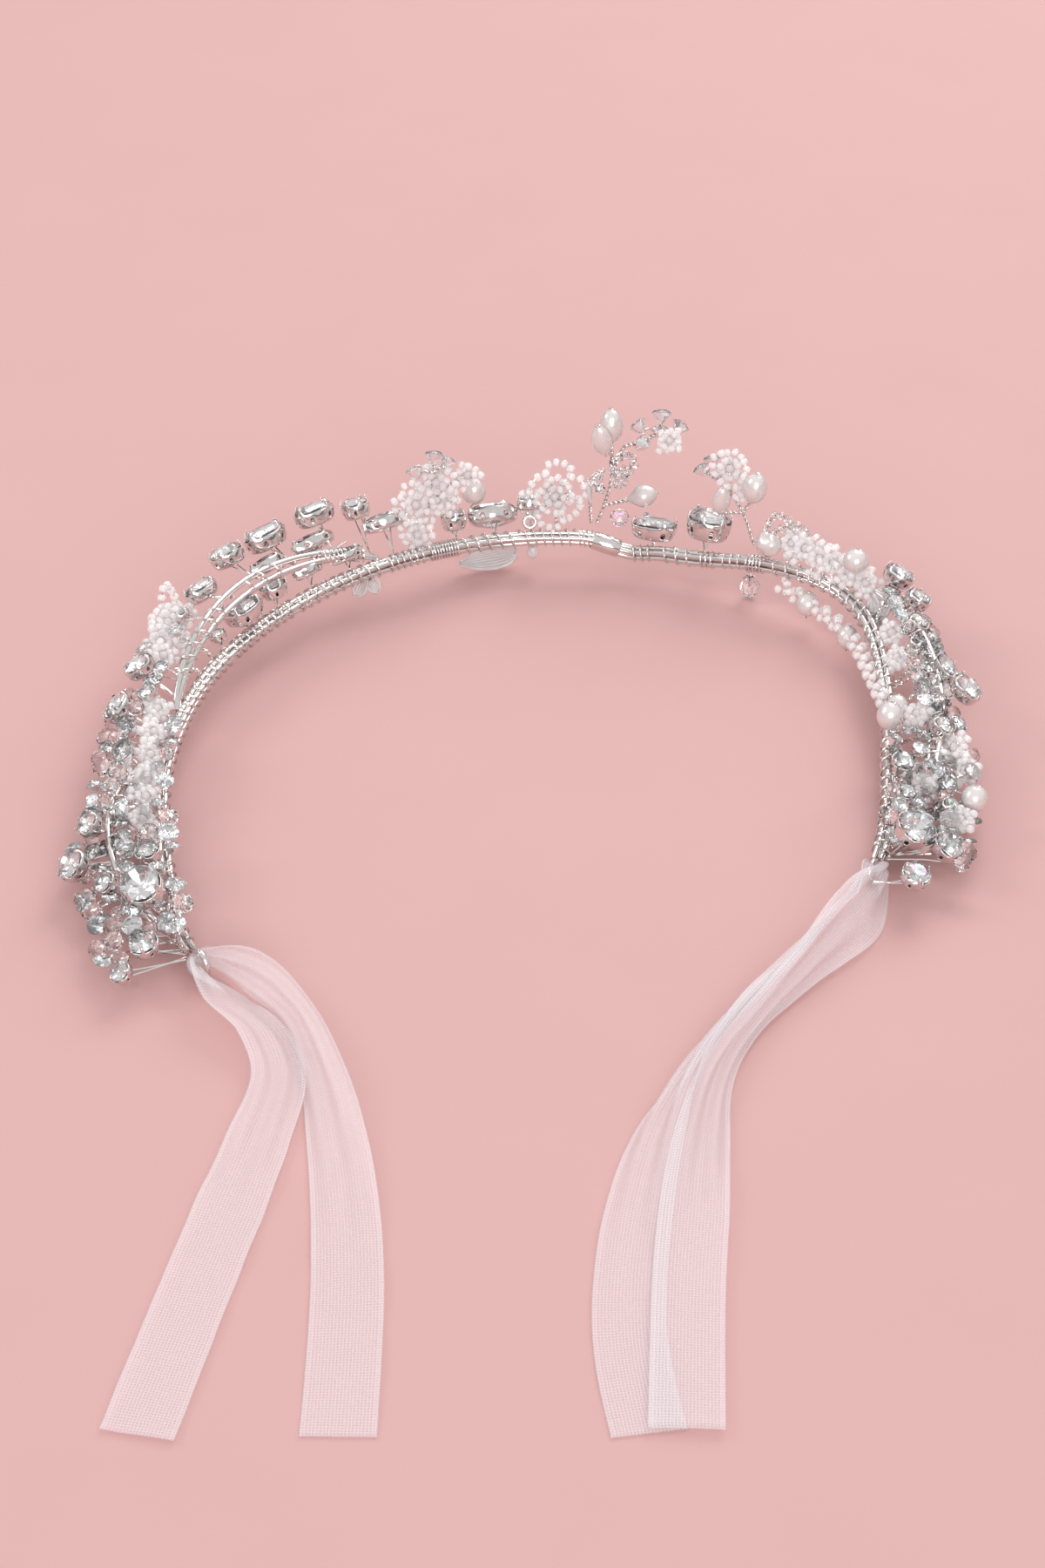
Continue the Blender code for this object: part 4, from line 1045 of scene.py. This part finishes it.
class CROWN_OT_centre_spray(bpy.types.Operator):
    """Make the tall centre spray with its pearls, leaf bead, rhinestone flower and drop"""
    bl_idname = "crown.centre_spray"
    bl_label = "Make Centre Spray"

    def execute(self, context):
        sizes = context.scene.crown_sizes
        body = "centre_spray"
        root = band(9.6, 3.4, 10.2)
        low_fork, fork = band(10.6, 3.8, 14.5), band(11.6, 4.4, 27.0)
        pearl, drop = middle_of("top_pearl"), middle_of("drop_bead")
        leaf, seeds = middle_of("centre_leaf_pearl"), middle_of("flower_seed_cluster")
        hub = band(18.0, 7.4, 31.8)
        middle = low_fork.lerp(fork, 0.5) + Vector((0.7, 0.0, 0.0)) * MM
        stems = twisted([root, low_fork, middle, fork])
        stems += twisted([middle, fork + Vector((2.2, 1.0, 0.6)) * MM, band(15.0, 6.6, 29.0), hub])
        stems += twisted([fork, fork.lerp(pearl, 0.3), pearl - (pearl - fork).normalized() * 3.6 * MM])
        stems += twisted([fork, leaf - Vector((0.0, 0.0, 2.6 * MM))])
        stems += twisted([low_fork, low_fork.lerp(drop, 0.35),
                          drop - (drop - low_fork).normalized() * 3.4 * MM])
        small_leaf = band(8.5, 3.0, 18.4)
        stems += twisted([root + Vector((-1.2, 0, 0.2)) * MM, small_leaf - Vector((0, 0, 2.2)) * MM])
        heads, arms = [], []
        for x, z, size in ((-4.6, 1.6, 1.0), (0.3, 4.4, 1.05), (4.4, 1.4, 1.0), (-3.6, -2.9, 0.95),
                           (0.2, 0.4, 0.9)):
            reach = Vector((x, 0.5, z)) * MM
            facing = reach.normalized() * 0.75 + Vector((0, 0.75, 0.45))
            heads.append((hub + reach, facing, sizes.chaton * size))
            arms.append([hub - Vector((0, 0, 1.0)) * MM, hub + reach * 0.5,
                         hub + reach - facing.normalized() * 2 * MM])
        stems += [smooth(arm, 5) for arm in arms]
        piece_from(wire_mesh(stems, sizes.stem_strand), "centre_twisted_stems", body,
                   ("centre_spray_stem", "rhinestone_flower"))
        chatons("centre_flower_chatons", heads, body)
        drilled_pearl("top_rice_pearl", pearl, (5.0, 5.0, 7.6), "spinning_pearl", pearl - fork,
                      ("top_pearl",), seed=2.0)
        drilled_pearl("drop_pearl", drop, (5.2, 5.0, 6.2), "spinning_drop", low_fork - drop,
                      ("drop_bead",), tip=0.72, seed=3.0)
        drilled_pearl("centre_leaf_bead", leaf, (4.4, 2.4, 7.0), body, Vector((-0.25, 0, 1)),
                      ("centre_leaf_pearl",), tip=0.25, seed=4.0, spin=90)
        drilled_pearl("small_leaf_bead", small_leaf, (1.9, 1.2, 5.4), body, Vector((-0.05, 0, 1)), tip=0.4,
                      material="petal_acrylic")
        look = Vector((0.1, -0.8, 0.5))
        flower = bead_flower(seeds - Vector((0, 0, 1.0)) * MM, look, 2.6, 4, 45)
        strung("flower_seed_ruffle", flower, body, replaces=("flower_seed_cluster",))
        loops = [ruffle(band(13.4, 3.6, 25.0), look, 2.2, 2, 0.6),
                 ruffle(band(13.0, 3.2, 22.2), look, 1.5, 2, 1.2),
                 ruffle(band(9.8, 3.0, 21.0), Vector((0.9, -0.3, 0.2)), 1.9, 2, 0.2)]
        strung("centre_clear_loops", loops, body, material="cut_crystal")
        return {"FINISHED"}


class CROWN_OT_side_sprays(bpy.types.Operator):
    """Make the left and right sprays of ruffles, chatons, leaf bead and pearl"""
    bl_idname = "crown.side_sprays"
    bl_label = "Make Side Sprays"

    def execute(self, context):
        sizes = context.scene.crown_sizes
        root, middle = band(-17.4, 4.2, 11.4), band(-15.8, 4.6, 18.0)
        top = band(-14.8, 5.4, 24.6)
        heads = [(band(-17.9, 6.0, 26.0), Vector((-0.35, 0.6, 0.8)), sizes.chaton * 0.95),
                 (band(-14.6, 6.2, 28.8), Vector((0.0, 0.6, 0.9)), sizes.chaton),
                 (band(-12.4, 6.0, 26.8), Vector((0.4, 0.6, 0.8)), sizes.chaton * 0.9)]
        stems = twisted([root, middle, top])
        for point, facing, _ in heads:
            stems += twisted([top, top.lerp(point, 0.55), point - facing.normalized() * 2 * MM])
        stems += twisted([middle, band(-12.6, 4.6, 21.5), band(-9.6, 4.6, 23.4)])
        piece_from(wire_mesh(stems, sizes.stem_strand), "left_twisted_stems", "left_spray",
                   ("left_spray_stem",))
        chatons("left_spray_chatons", heads, "left_spray")
        look = Vector((0.0, -0.85, 0.5))
        sprays = bead_flower(band(-14.6, 5.0, 22.4), look, 4.8, 5, 10)
        sprays += bead_flower(band(-18.0, 4.8, 18.2), look, 4.4, 5, 40)
        sprays += bead_flower(band(-9.8, 4.6, 23.2), look, 2.8, 3, 0)
        sprays += bead_flower(band(-13.4, 5.0, 17.2), look, 3.0, 4, 25)
        strung("left_spray_ruffles", sprays, "left_spray", replaces=("left_spray_seeds",))
        root, fork = band(33.4, 3.4, 11.4), band(31.4, 3.8, 18.4)
        top, end = band(28.0, 5.0, 23.2), band(25.4, 5.6, 24.8)
        leaf, pearl = middle_of("right_leaf_pearl"), middle_of("right_pearl")
        seeds = middle_of("right_spray_seeds")
        heads = [(end + Vector((-1.6, 0.4, 1.2)) * MM, Vector((-0.6, 0.6, 0.7)), sizes.chaton * 0.9),
                 (end + Vector((0.8, 0.6, 3.4)) * MM, Vector((-0.1, 0.6, 0.9)), sizes.chaton * 0.95),
                 (end + Vector((2.6, 0.0, 0.4)) * MM, Vector((0.3, 0.7, 0.4)), sizes.chaton * 0.8)]
        stems = twisted([root, fork, top, end])
        stems += twisted([fork, fork.lerp(pearl, 0.4) + Vector((0.6, 0.4, 0.0)) * MM,
                          pearl - Vector((0, 0, 3.3)) * MM])
        stems += twisted([fork, leaf - Vector((0, 0, 3.0)) * MM])
        stems += twisted([fork.lerp(top, 0.6), seeds - Vector((0, 0, 3.0)) * MM])
        for point, facing, _ in heads:
            stems.append([end, end.lerp(point, 0.4), point - facing.normalized() * 2 * MM])
        piece_from(wire_mesh(stems, sizes.stem_strand), "right_twisted_stems", "right_spray",
                   ("right_spray_stem",))
        chatons("right_spray_chatons", heads, "right_spray")
        drilled_pearl("right_leaf_bead", leaf, (4.0, 2.3, 6.4), "right_spray", Vector((0.1, 0, 1)),
                      ("right_leaf_pearl",), tip=0.3, seed=6.0, spin=90)
        drilled_pearl("right_rice_pearl", pearl, (5.2, 5.2, 6.8), "right_spray", Vector((0.15, 0, 1)),
                      ("right_pearl",), seed=7.0)
        sprays = bead_flower(seeds, look, 3.8, 5, 0)
        sprays += bead_flower(seeds + Vector((4.0, -1.0, -4.6)) * MM, look, 2.6, 4, 30)
        strung("right_spray_ruffles", sprays, "right_spray", replaces=("right_spray_seeds",))
        return {"FINISHED"}


def ribbed_petal(name, place, length, width, body, replaces=(), ribs=9):
    """A moulded petal, cupped and ribbed along its length, as one thin closed shell."""
    bm = bmesh.new()
    bmesh.ops.create_grid(bm, x_segments=24, y_segments=4 * ribs, size=0.5)
    for vert in bm.verts:
        along, across = vert.co.x + 0.5, vert.co.y * 2
        half = width / 2 * math.sin(math.pi * (0.06 + 0.9 * along ** 0.75)) ** 0.8
        ridge = 0.05 * width * math.cos(math.pi * ribs * across) * math.sin(math.pi * along)
        vert.co = Vector(((along - 0.5) * length, across * half, 0.22 * width * across ** 2 + ridge))
    bmesh.ops.recalc_face_normals(bm, faces=bm.faces)
    mesh = mesh_from(bm, name, ["petal_acrylic"])
    mesh.transform(place)
    piece = piece_from(mesh, name, body, replaces)
    wall = piece.modifiers.new("wall", "SOLIDIFY")
    wall.thickness = 0.5 * MM
    wall.offset = 0.0
    return piece


class CROWN_OT_front_beads(bpy.types.Operator):
    """Make the bead fan, the ring bead and what hangs under the front of the rail"""
    bl_idname = "crown.front_beads"
    bl_label = "Make Front Beads"

    def execute(self, context):
        look = Vector((0.0, -0.9, 0.35))
        fan = bead_flower(band(3.3, 3.8, 16.6), look, 6.6, 6, 20)
        strung("front_fan_ruffles", fan, "left_band", replaces=("seed_fan",))
        piece_from(wire_mesh(twisted([band(3.6, 1.3, 9.4), band(3.6, 3.2, 12.0), band(3.8, 3.6, 17.0)])
                             + twisted([band(3.7, 3.4, 14.0), band(2.0, 3.6, 19.0)])
                             + twisted([band(3.7, 3.4, 14.0), band(5.6, 3.6, 18.4)]), 0.36 * MM),
                   "front_fan_stem", "left_band")
        strung("left_low_ruffles", bead_flower(band(-18.6, 2.4, 12.4), look, 3.4, 5, 15), "left_spray")
        turns = (2 * math.pi * step / 8 for step in range(8))
        ring = turned([(1.25 * MM + 0.45 * MM * math.cos(turn), 0.55 * MM * math.sin(turn))
                       for turn in turns], 24, "ring", ["silver_plate"])
        ring.transform(aimed(band(-0.6, 1.2, 11.9), Vector((0.1, -0.9, 0.4))))
        piece_from(ring, "front_ring_bead", "left_band")
        drilled_pearl("behind_marquise_pearl", band(-8.4, 7.0, 17.4), (5.2, 5.2, 6.0), "left_band",
                      seed=9.0)
        faceted_bead("clear_round_bead", middle_of("clear_bead"), (4.2, 4.2, 4.0), "right_band",
                     ("clear_bead",), coated=True)
        petal = middle_of("ribbed_petal")
        ribbed_petal("hanging_petal", aimed(petal, outward(-7) * -1.0 + Vector((0, 0, 0.25)), 4)
                     @ Matrix.Rotation(math.radians(180), 4, "Z"), 12.6 * MM, 5.4 * MM, "left_band",
                     ("ribbed_petal",))
        faceted_bead("hanging_cut_drop", middle_of("hanging_crystal"), (4.2, 4.2, 5.8), "right_band",
                     ("hanging_crystal",))
        drilled_pearl("small_hanging_drop", band(-0.2, 0.4, 5.0), (2.6, 2.6, 3.4), "left_band", tip=0.4,
                      material="petal_acrylic")
        for number, shift in enumerate((-0.8, 0.9)):
            place = aimed(band(-29 + shift, 0.4, 5.6), Vector((shift * 0.3, -0.9, 0.3)), 70 + 50 * number)
            ribbed_petal(f"left_hanging_petal_{number + 1}", place, 5.4 * MM, 3.2 * MM, "left_band",
                         ribs=5)
        hooks = [smooth([band(34.4, 1.3), band(34.4, -0.4, 8.0), middle_of("hanging_crystal")]),
                 smooth([band(-0.2, 1.3), band(-0.2, -0.9, 7.4), band(-0.2, 0.4, 5.4)])]
        piece_from(wire_mesh([hooks[0]], 0.34 * MM), "right_hanging_wire", "right_band")
        piece_from(wire_mesh([hooks[1]], 0.34 * MM), "front_hanging_wire", "left_band")
        return {"FINISHED"}


# Small rhinestones on short stems along the sides: station, out, up
LEFT_SMALL_STONES = ((-66, 9.0, 15.4), (-70, 13.4, 13.4), (-88.5, 7.8, 12.2), (-89.5, 12.0, 9.0),
                     (-98, 10.0, 8.6), (-101, 5.2, 9.8), (-103.5, 13.2, 7.4), (-106.5, 7.6, 9.6),
                     (-111, 7.4, 9.8), (-122.5, 13.6, 6.0), (-110, 16.8, 7.6), (-118.4, 16.0, 5.6))
RIGHT_SMALL_STONES = ((57, 5.4, 15.6), (66, 11.2, 12.4), (71.2, 8.6, 13.6), (71.6, 12.6, 11.4),
                      (77.4, 7.0, 12.4), (84.4, 13.4, 10.4), (90.8, 5.6, 10.6), (91.6, 11.4, 8.6),
                      (97.4, 11.2, 9.2), (105.4, 6.2, 8.8), (106.4, 11.4, 7.2), (94.6, 15.6, 9.8))

# Loose crystals on each side, and the least distance between them in millimetres
LOOSE_COUNT = 84
LOOSE_CLEARANCE = 3.1
# Lanes of loose crystals along each side: first and last station, then the lowest and highest
# distance out and height
LEFT_LANES = ((-84, -131, -1.6, 3.4, 9.4, 11.4), (-72, -108, 7.0, 13.0, 8.6, 13.6),
              (-106, -131, 7.0, 16.0, 5.0, 9.6), (-104, -131, 2.0, 9.0, 7.6, 11.0))
RIGHT_LANES = ((55, 84, 5.0, 12.6, 10.6, 14.8), (84, 110, 0.4, 6.0, 8.6, 11.0),
               (84, 112, 6.0, 16.0, 5.6, 10.4), (96, 111, 2.0, 8.0, 6.6, 9.0))


def sprinkled(lanes):
    """Places in the lanes that keep clear of each other, sorted along the band: station, out, up."""
    draw = random.Random(5)
    places, points = [], []
    for attempt in range(LOOSE_COUNT * 30):
        first, last, out_low, out_high, up_low, up_high = lanes[attempt % len(lanes)]
        share = draw.random()
        low = (draw.uniform(first, last), out_low + (out_high - out_low) * share,
               up_high + (up_low - up_high) * share + draw.uniform(-0.8, 0.8))
        point = band(*low)
        if all((point - other).length > LOOSE_CLEARANCE * MM for other in points):
            places.append(low)
            points.append(point)
        if len(places) == LOOSE_COUNT:
            break
    return sorted(places, key=lambda place: abs(place[0]))


class CROWN_OT_loose_crystals(bpy.types.Operator):
    """Make the loose crystals and small pointed stones threaded along both sides"""
    bl_idname = "crown.loose_crystals"
    bl_label = "Make Loose Crystals"

    def execute(self, context):
        sizes = context.scene.crown_sizes
        draw = random.Random(77)
        for side, body, lanes in (("left", "left_band", LEFT_LANES), ("right", "right_band", RIGHT_LANES)):
            places = sprinkled(lanes)
            heads, crystals, threads = [], [], []
            template = faceted_mesh((1.0, 1.0, 0.9), "cut_crystal")
            for number, (station, out, up) in enumerate(places):
                point = band(station, out, up)
                facing = outward(station) * draw.uniform(-0.3, 0.7)
                facing += forward(station) * draw.uniform(-0.4, 0.4)
                facing.z = 0.9
                if number % 2:
                    heads.append((point, facing, sizes.chaton * draw.uniform(0.78, 1.15)))
                else:
                    crystals.append(aimed(point, facing) @ Matrix.Scale(draw.uniform(3.0, 4.4), 4))
                anchor = anchor_near(station, out)
                threads.append([anchor, anchor.lerp(point, 0.5) + Vector((0, 0, 0.5)) * MM, point])
            chatons(f"{side}_loose_chatons", heads, body)
            beads = merged([template] * len(crystals), "beads", ["cut_crystal"], matrices=crystals)
            for face in beads.polygons:
                face.use_smooth = False
            piece_from(beads, f"{side}_loose_crystals", body)
            mesh = wire_mesh(threads, sizes.stem_strand * 0.7, bevel=0)
            piece_from(mesh, f"{side}_loose_threads", body)
            bpy.data.meshes.remove(template)
        return {"FINISHED"}


class CROWN_OT_side_beads(bpy.types.Operator):
    """Make the bead masses, strands, pearls and small stones along both sides"""
    bl_idname = "crown.side_beads"
    bl_label = "Make Side Beads"

    def execute(self, context):
        sizes = context.scene.crown_sizes
        for side, body, places in (("left", "left_band", LEFT_SMALL_STONES),
                                   ("right", "right_band", RIGHT_SMALL_STONES)):
            heads, stems = [], []
            for number, (station, out, up) in enumerate(places):
                facing = outward(station) * (0.3 + 0.2 * (number % 3)) + Vector((0, 0, 0.9))
                point = band(station, out, up)
                heads.append((point, facing, sizes.chaton * (0.85 + 0.1 * (number % 3))))
                foot = band(station + 1.5, 1.2)
                stems += twisted([foot, foot.lerp(point, 0.5) + Vector((0, 0, 0.8)) * MM,
                                  point - facing.normalized() * 2 * MM])
            chatons(f"{side}_side_chatons", heads, body)
            mesh = wire_mesh(stems, sizes.stem_strand * 0.8, bevel=0)
            piece_from(mesh, f"{side}_side_stems", body)
        mass = []
        for number, place in enumerate(((39.6, 2.4, 15.0), (42.2, 1.4, 15.6), (44.8, 1.0, 15.0),
                                        (47.2, 1.2, 15.4), (49.8, 2.0, 14.6), (52.4, 3.2, 14.0))):
            mass += bead_flower(band(*place), Vector((-0.1, -0.7, 0.7)), 3.2, 4, 35 * number)
        strung("right_seed_ruffles", mass, "right_band", replaces=("right_seed_mass",))
        loops = [smooth([band(*stop) for stop in stops]) for stops in (
            ((35.2, 2.6, 15.0), (36.2, 3.4, 19.8), (38.2, 3.4, 20.0), (39.6, 3.0, 17.0)),
            ((36.4, 3.8, 15.6), (38.6, 4.4, 18.4), (41.2, 4.0, 18.0), (42.4, 3.0, 15.8)))]
        strung("right_clear_loops", loops, "right_band", material="cut_crystal")
        upright = smooth([band(*stop) for stop in (
            (-59.2, 13.4, 10.4), (-58.8, 15.4, 15.0), (-60.2, 16.2, 19.4), (-62.0, 15.6, 15.4),
            (-62.0, 13.4, 10.6))])
        strung("left_upright_loop", [upright], "left_band")
        for side, body, replaced, places in (
                ("left", "left_band", ("left_seed_mass",), (
                    (-60.8, 12.4, 13.4, 3.0), (-64.0, 12.8, 14.2, 3.4), (-67.4, 11.8, 12.6, 3.2),
                    (-64.6, 9.4, 11.4, 2.8), (-70.8, 8.8, 13.0, 3.0), (-82.0, 4.4, 11.0, 2.6),
                    (-87.6, 3.2, 10.6, 2.8), (-92.4, 2.8, 9.8, 2.8), (-97.2, 2.8, 9.4, 3.0),
                    (-101.8, 2.8, 9.0, 2.8), (-106.6, 3.6, 8.4, 2.6))),
                ("right", "right_band", (), (
                    (76.6, 9.6, 11.0, 2.6), (83.0, 5.2, 11.0, 2.6), (88.8, 12.4, 8.8, 3.0),
                    (93.0, 14.4, 7.8, 2.8), (98.4, 6.4, 8.8, 2.4), (103.6, 14.0, 7.2, 2.6),
                    (63.0, 3.2, 11.6, 2.8), (68.8, 2.8, 11.2, 2.6)))):
            mass = []
            for number, (station, out, up, radius) in enumerate(places):
                facing = Vector((-0.4 if station > 0 else 0.4, -0.4, 0.8))
                mass += bead_flower(band(station, out, up), facing, radius, 4 + number % 2, 40 * number)
            strung(f"{side}_side_ruffles", mass, body, replaces=replaced)
        inner = smooth([band(*stop) for stop in (
            (40.4, -2.2, 7.4), (46.0, -3.0, 6.0), (52.0, -3.2, 6.0), (58.0, -3.0, 6.4),
            (66.0, -2.6, 7.4), (73.0, -1.8, 8.4), (79.0, -0.6, 9.6))])
        strung("right_inner_strands", wound(evenly(inner, 1.0 * MM), 1.25 * MM, 8.0 * MM), "right_band")
        for name, node, size, seed in (("baroque_side_pearl", "baroque_pearl", (6.2, 4.9, 5.2), 11.0),
                                       ("shoulder_round_pearl", "shoulder_pearl", (5.4, 5.4, 5.2), 12.0),
                                       ("side_rice_pearl", "side_pearl_right", (5.2, 5.2, 5.8), 13.0),
                                       ("outer_rice_pearl", "outer_pearl_right", (5.2, 5.2, 5.6), 14.0)):
            rough = 0.16 if "baroque" in name else 0.03
            drilled_pearl(name, node, size, "right_band", Vector((0.2, 0.1, 1)), (node,), rough, seed=seed)
        for name, place, size in (("inner_pearl_upper", (45.4, -2.8, 5.6), 4.8),
                                  ("inner_pearl_lower", (55.6, -3.2, 5.4), 4.6),
                                  ("right_low_pearl", (90.4, 9.6, 7.4), 4.8),
                                  ("right_inner_pearl", (80.6, 1.2, 10.8), 4.6)):
            drilled_pearl(name, band(*place), (size, size, size * 1.1), "right_band",
                          Vector((0.1, 0.4, 1)), seed=place[0])
        centre = band(56.8, 3.0, 9.2)
        facing = outward(56.8) * -0.9 + Vector((0, 0, 0.5))
        for number in range(5):
            place = aimed(centre, facing, 72 * number) @ Matrix.Translation((2.7 * MM, 0, 0))
            ribbed_petal(f"side_flower_petal_{number + 1}", place, 5.0 * MM, 4.0 * MM, "right_band", ribs=4)
        faceted_bead("side_flower_eye", centre + facing.normalized() * 0.8 * MM, (2.6, 2.6, 2.0),
                     "right_band", direction=facing, coated=True)
        return {"FINISHED"}


# Middle lines of the ties from the end ring's middle: x, y, height, share of the width, roll, in millimetres
# and degrees
LEFT_TIE = (
    (30.0, -109.0, 0.4, 1.0, 0), (30.2, -93.0, 0.5, 1.0, 2), (30.0, -77.0, 0.5, 1.0, -3),
    (28.8, -60.0, 0.6, 0.96, 4), (26.4, -43.0, 0.8, 0.86, 10), (22.8, -27.0, 1.6, 0.7, 26),
    (17.6, -13.0, 2.6, 0.6, 42), (9.6, -3.6, 3.4, 0.66, 46), (1.2, 1.6, 3.2, 0.3, 80),
    (-1.4, -0.2, 2.9, 0.2, 90), (0.4, -4.4, 3.4, 0.7, 60), (5.6, -11.0, 3.2, 1.0, 34),
    (12.6, -19.0, 2.2, 0.86, 26), (16.0, -30.0, 1.3, 0.8, 14), (13.2, -45.0, 0.9, 0.92, 6),
    (9.8, -60.0, 0.9, 1.0, -3), (6.0, -77.0, 0.8, 1.0, 2), (2.6, -93.0, 0.8, 1.0, -2),
    (-0.8, -109.0, 0.7, 1.0, 0),
)
RIGHT_TIE = (
    (-46.3, -134.5, 0.4, 1.0, 0), (-48.4, -120.0, 0.5, 1.0, 3), (-48.6, -106.0, 0.5, 1.0, -3),
    (-46.6, -88.0, 0.5, 0.96, 3), (-42.6, -70.0, 0.7, 0.8, 14), (-36.0, -53.0, 1.4, 0.5, 45),
    (-27.0, -38.0, 2.4, 0.42, 70), (-16.4, -25.0, 3.2, 0.6, 66), (-7.4, -12.6, 4.2, 1.0, 52),
    (-1.6, -2.4, 4.4, 0.5, 84), (0.2, 0.6, 2.9, 0.2, 90), (1.8, -2.4, 4.0, 0.5, 84),
    (-3.6, -14.0, 4.4, 1.0, 48), (-14.0, -27.4, 3.4, 0.64, 56), (-24.6, -41.6, 2.4, 0.44, 60),
    (-31.6, -55.6, 2.0, 0.56, 36), (-35.4, -72.0, 1.7, 0.84, 10), (-37.6, -90.0, 1.6, 1.0, -2),
    (-39.2, -108.0, 1.5, 1.0, 3), (-40.6, -134.5, 1.4, 1.0, 0),
)


def organza_tie(name, node, eye, stops, body):
    """One length of ribbon through an end ring: gathered where it is narrow, flat where it lies."""
    sizes = bpy.context.scene.crown_sizes
    values = smooth([Vector(stop) for stop in stops], 10)
    rows, columns = len(values), 21
    points = [eye.xy + Vector(value[:2]) * MM for value in values]
    bm = bmesh.new()
    cloth = bm.loops.layers.uv.new("cloth")
    bmesh.ops.create_grid(bm, x_segments=rows - 1, y_segments=columns - 1, size=0.5)
    travelled, along_all = 0.0, []
    for index in range(rows):
        travelled += (points[index] - points[max(index - 1, 0)]).length
        along_all.append(travelled)
    for vert in bm.verts:
        row = round((vert.co.x + 0.5) * (rows - 1))
        across = vert.co.y * 2
        value = values[row]
        before, after = points[max(row - 1, 0)], points[min(row + 1, rows - 1)]
        along = (after - before).normalized().to_3d()
        level = along.cross(Vector((0, 0, 1)))
        roll = math.radians(value[4])
        spread = level * math.cos(roll) + Vector((0, 0, 1)) * abs(math.sin(roll))
        fold_way = along.cross(spread).normalized()
        share = min(max(value[3], 0.15), 1.0)
        folds = math.sqrt(max(1.0 - share ** 2, 0.0)) * 1.1 * MM
        wave = math.sin(across * 7.4 + 0.05 * row) * folds
        drift = 0.25 * MM * math.sin(along_all[row] / MM * 0.22 + across * 1.3)
        drift *= ease(along_all[row] / (20 * MM))
        half = sizes.ribbon_width / 2 * share * across
        base = Vector((*points[row], 0.0)) + spread * half + fold_way * wave
        lowest = abs(math.sin(roll)) * sizes.ribbon_width / 2 * share
        base.z += max(value[2] * MM, lowest + 0.3 * MM) + abs(drift) + folds * math.cos(roll) ** 2
        vert.co = base
    bm.faces.ensure_lookup_table()
    for face in bm.faces:
        for loop in face.loops:
            index = loop.vert.index
            column, row = divmod(index, rows)
            loop[cloth].uv = (along_all[row], sizes.ribbon_width * (column / (columns - 1) - 0.5))
    bmesh.ops.recalc_face_normals(bm, faces=bm.faces)
    mesh = mesh_from(bm, name, ["organza_weave"])
    piece = piece_from(mesh, name, body, (node,))
    wall = piece.modifiers.new("cloth", "SOLIDIFY")
    wall.thickness = sizes.ribbon_thickness
    wall.offset = 0.0
    return piece


class CROWN_OT_ties(bpy.types.Operator):
    """Make the two sheer ribbons that tie the crown"""
    bl_idname = "crown.ties"
    bl_label = "Make Ties"

    def execute(self, context):
        organza_tie("left_organza_tie", "left_ribbon", middle_of("end_eye_left"), LEFT_TIE, "left_tie")
        organza_tie("right_organza_tie", "right_ribbon", middle_of("end_eye_right"), RIGHT_TIE, "right_tie")
        return {"FINISHED"}


class CROWN_OT_finishes(bpy.types.Operator):
    """Make the materials of the crown and its stage"""
    bl_idname = "crown.finishes"
    bl_label = "Make Finishes"

    def execute(self, context):
        colours = context.scene.crown_colours
        for make in (make_silver, make_stamped_silver, make_foil, make_crystal, make_pearl, make_seed_glass,
                     make_petal_acrylic, make_organza, make_card):
            make(colours)
        return {"FINISHED"}


STEPS = (CROWN_OT_finishes, CROWN_OT_stage, CROWN_OT_rails, CROWN_OT_bindings, CROWN_OT_jewels,
         CROWN_OT_centre_spray, CROWN_OT_side_sprays, CROWN_OT_front_beads, CROWN_OT_side_beads,
         CROWN_OT_loose_crystals, CROWN_OT_ties)


class CROWN_PT_panel(bpy.types.Panel):
    """Lists the crown's sizes, colours and steps"""
    bl_idname = "CROWN_PT_panel"
    bl_label = "Bridal Crown"
    bl_space_type = "VIEW_3D"
    bl_region_type = "UI"
    bl_category = "Crown"

    def draw(self, context):
        for group in (context.scene.crown_sizes, context.scene.crown_colours):
            box = self.layout.box()
            for name in group.__annotations__:
                box.prop(group, name)
        for step in STEPS:
            self.layout.operator(step.bl_idname)


CLASSES = (CrownSizes, CrownColours, *STEPS, CROWN_PT_panel)


def register():
    for item in CLASSES:
        bpy.utils.register_class(item)
    bpy.types.Scene.crown_sizes = bpy.props.PointerProperty(type=CrownSizes)
    bpy.types.Scene.crown_colours = bpy.props.PointerProperty(type=CrownColours)


def unregister():
    del bpy.types.Scene.crown_colours
    del bpy.types.Scene.crown_sizes
    for item in reversed(CLASSES):
        bpy.utils.unregister_class(item)


def main():
    register()
    for step in STEPS:
        group, name = step.bl_idname.split(".")
        getattr(getattr(bpy.ops, group), name)()


if __name__ == "__main__":
    main()
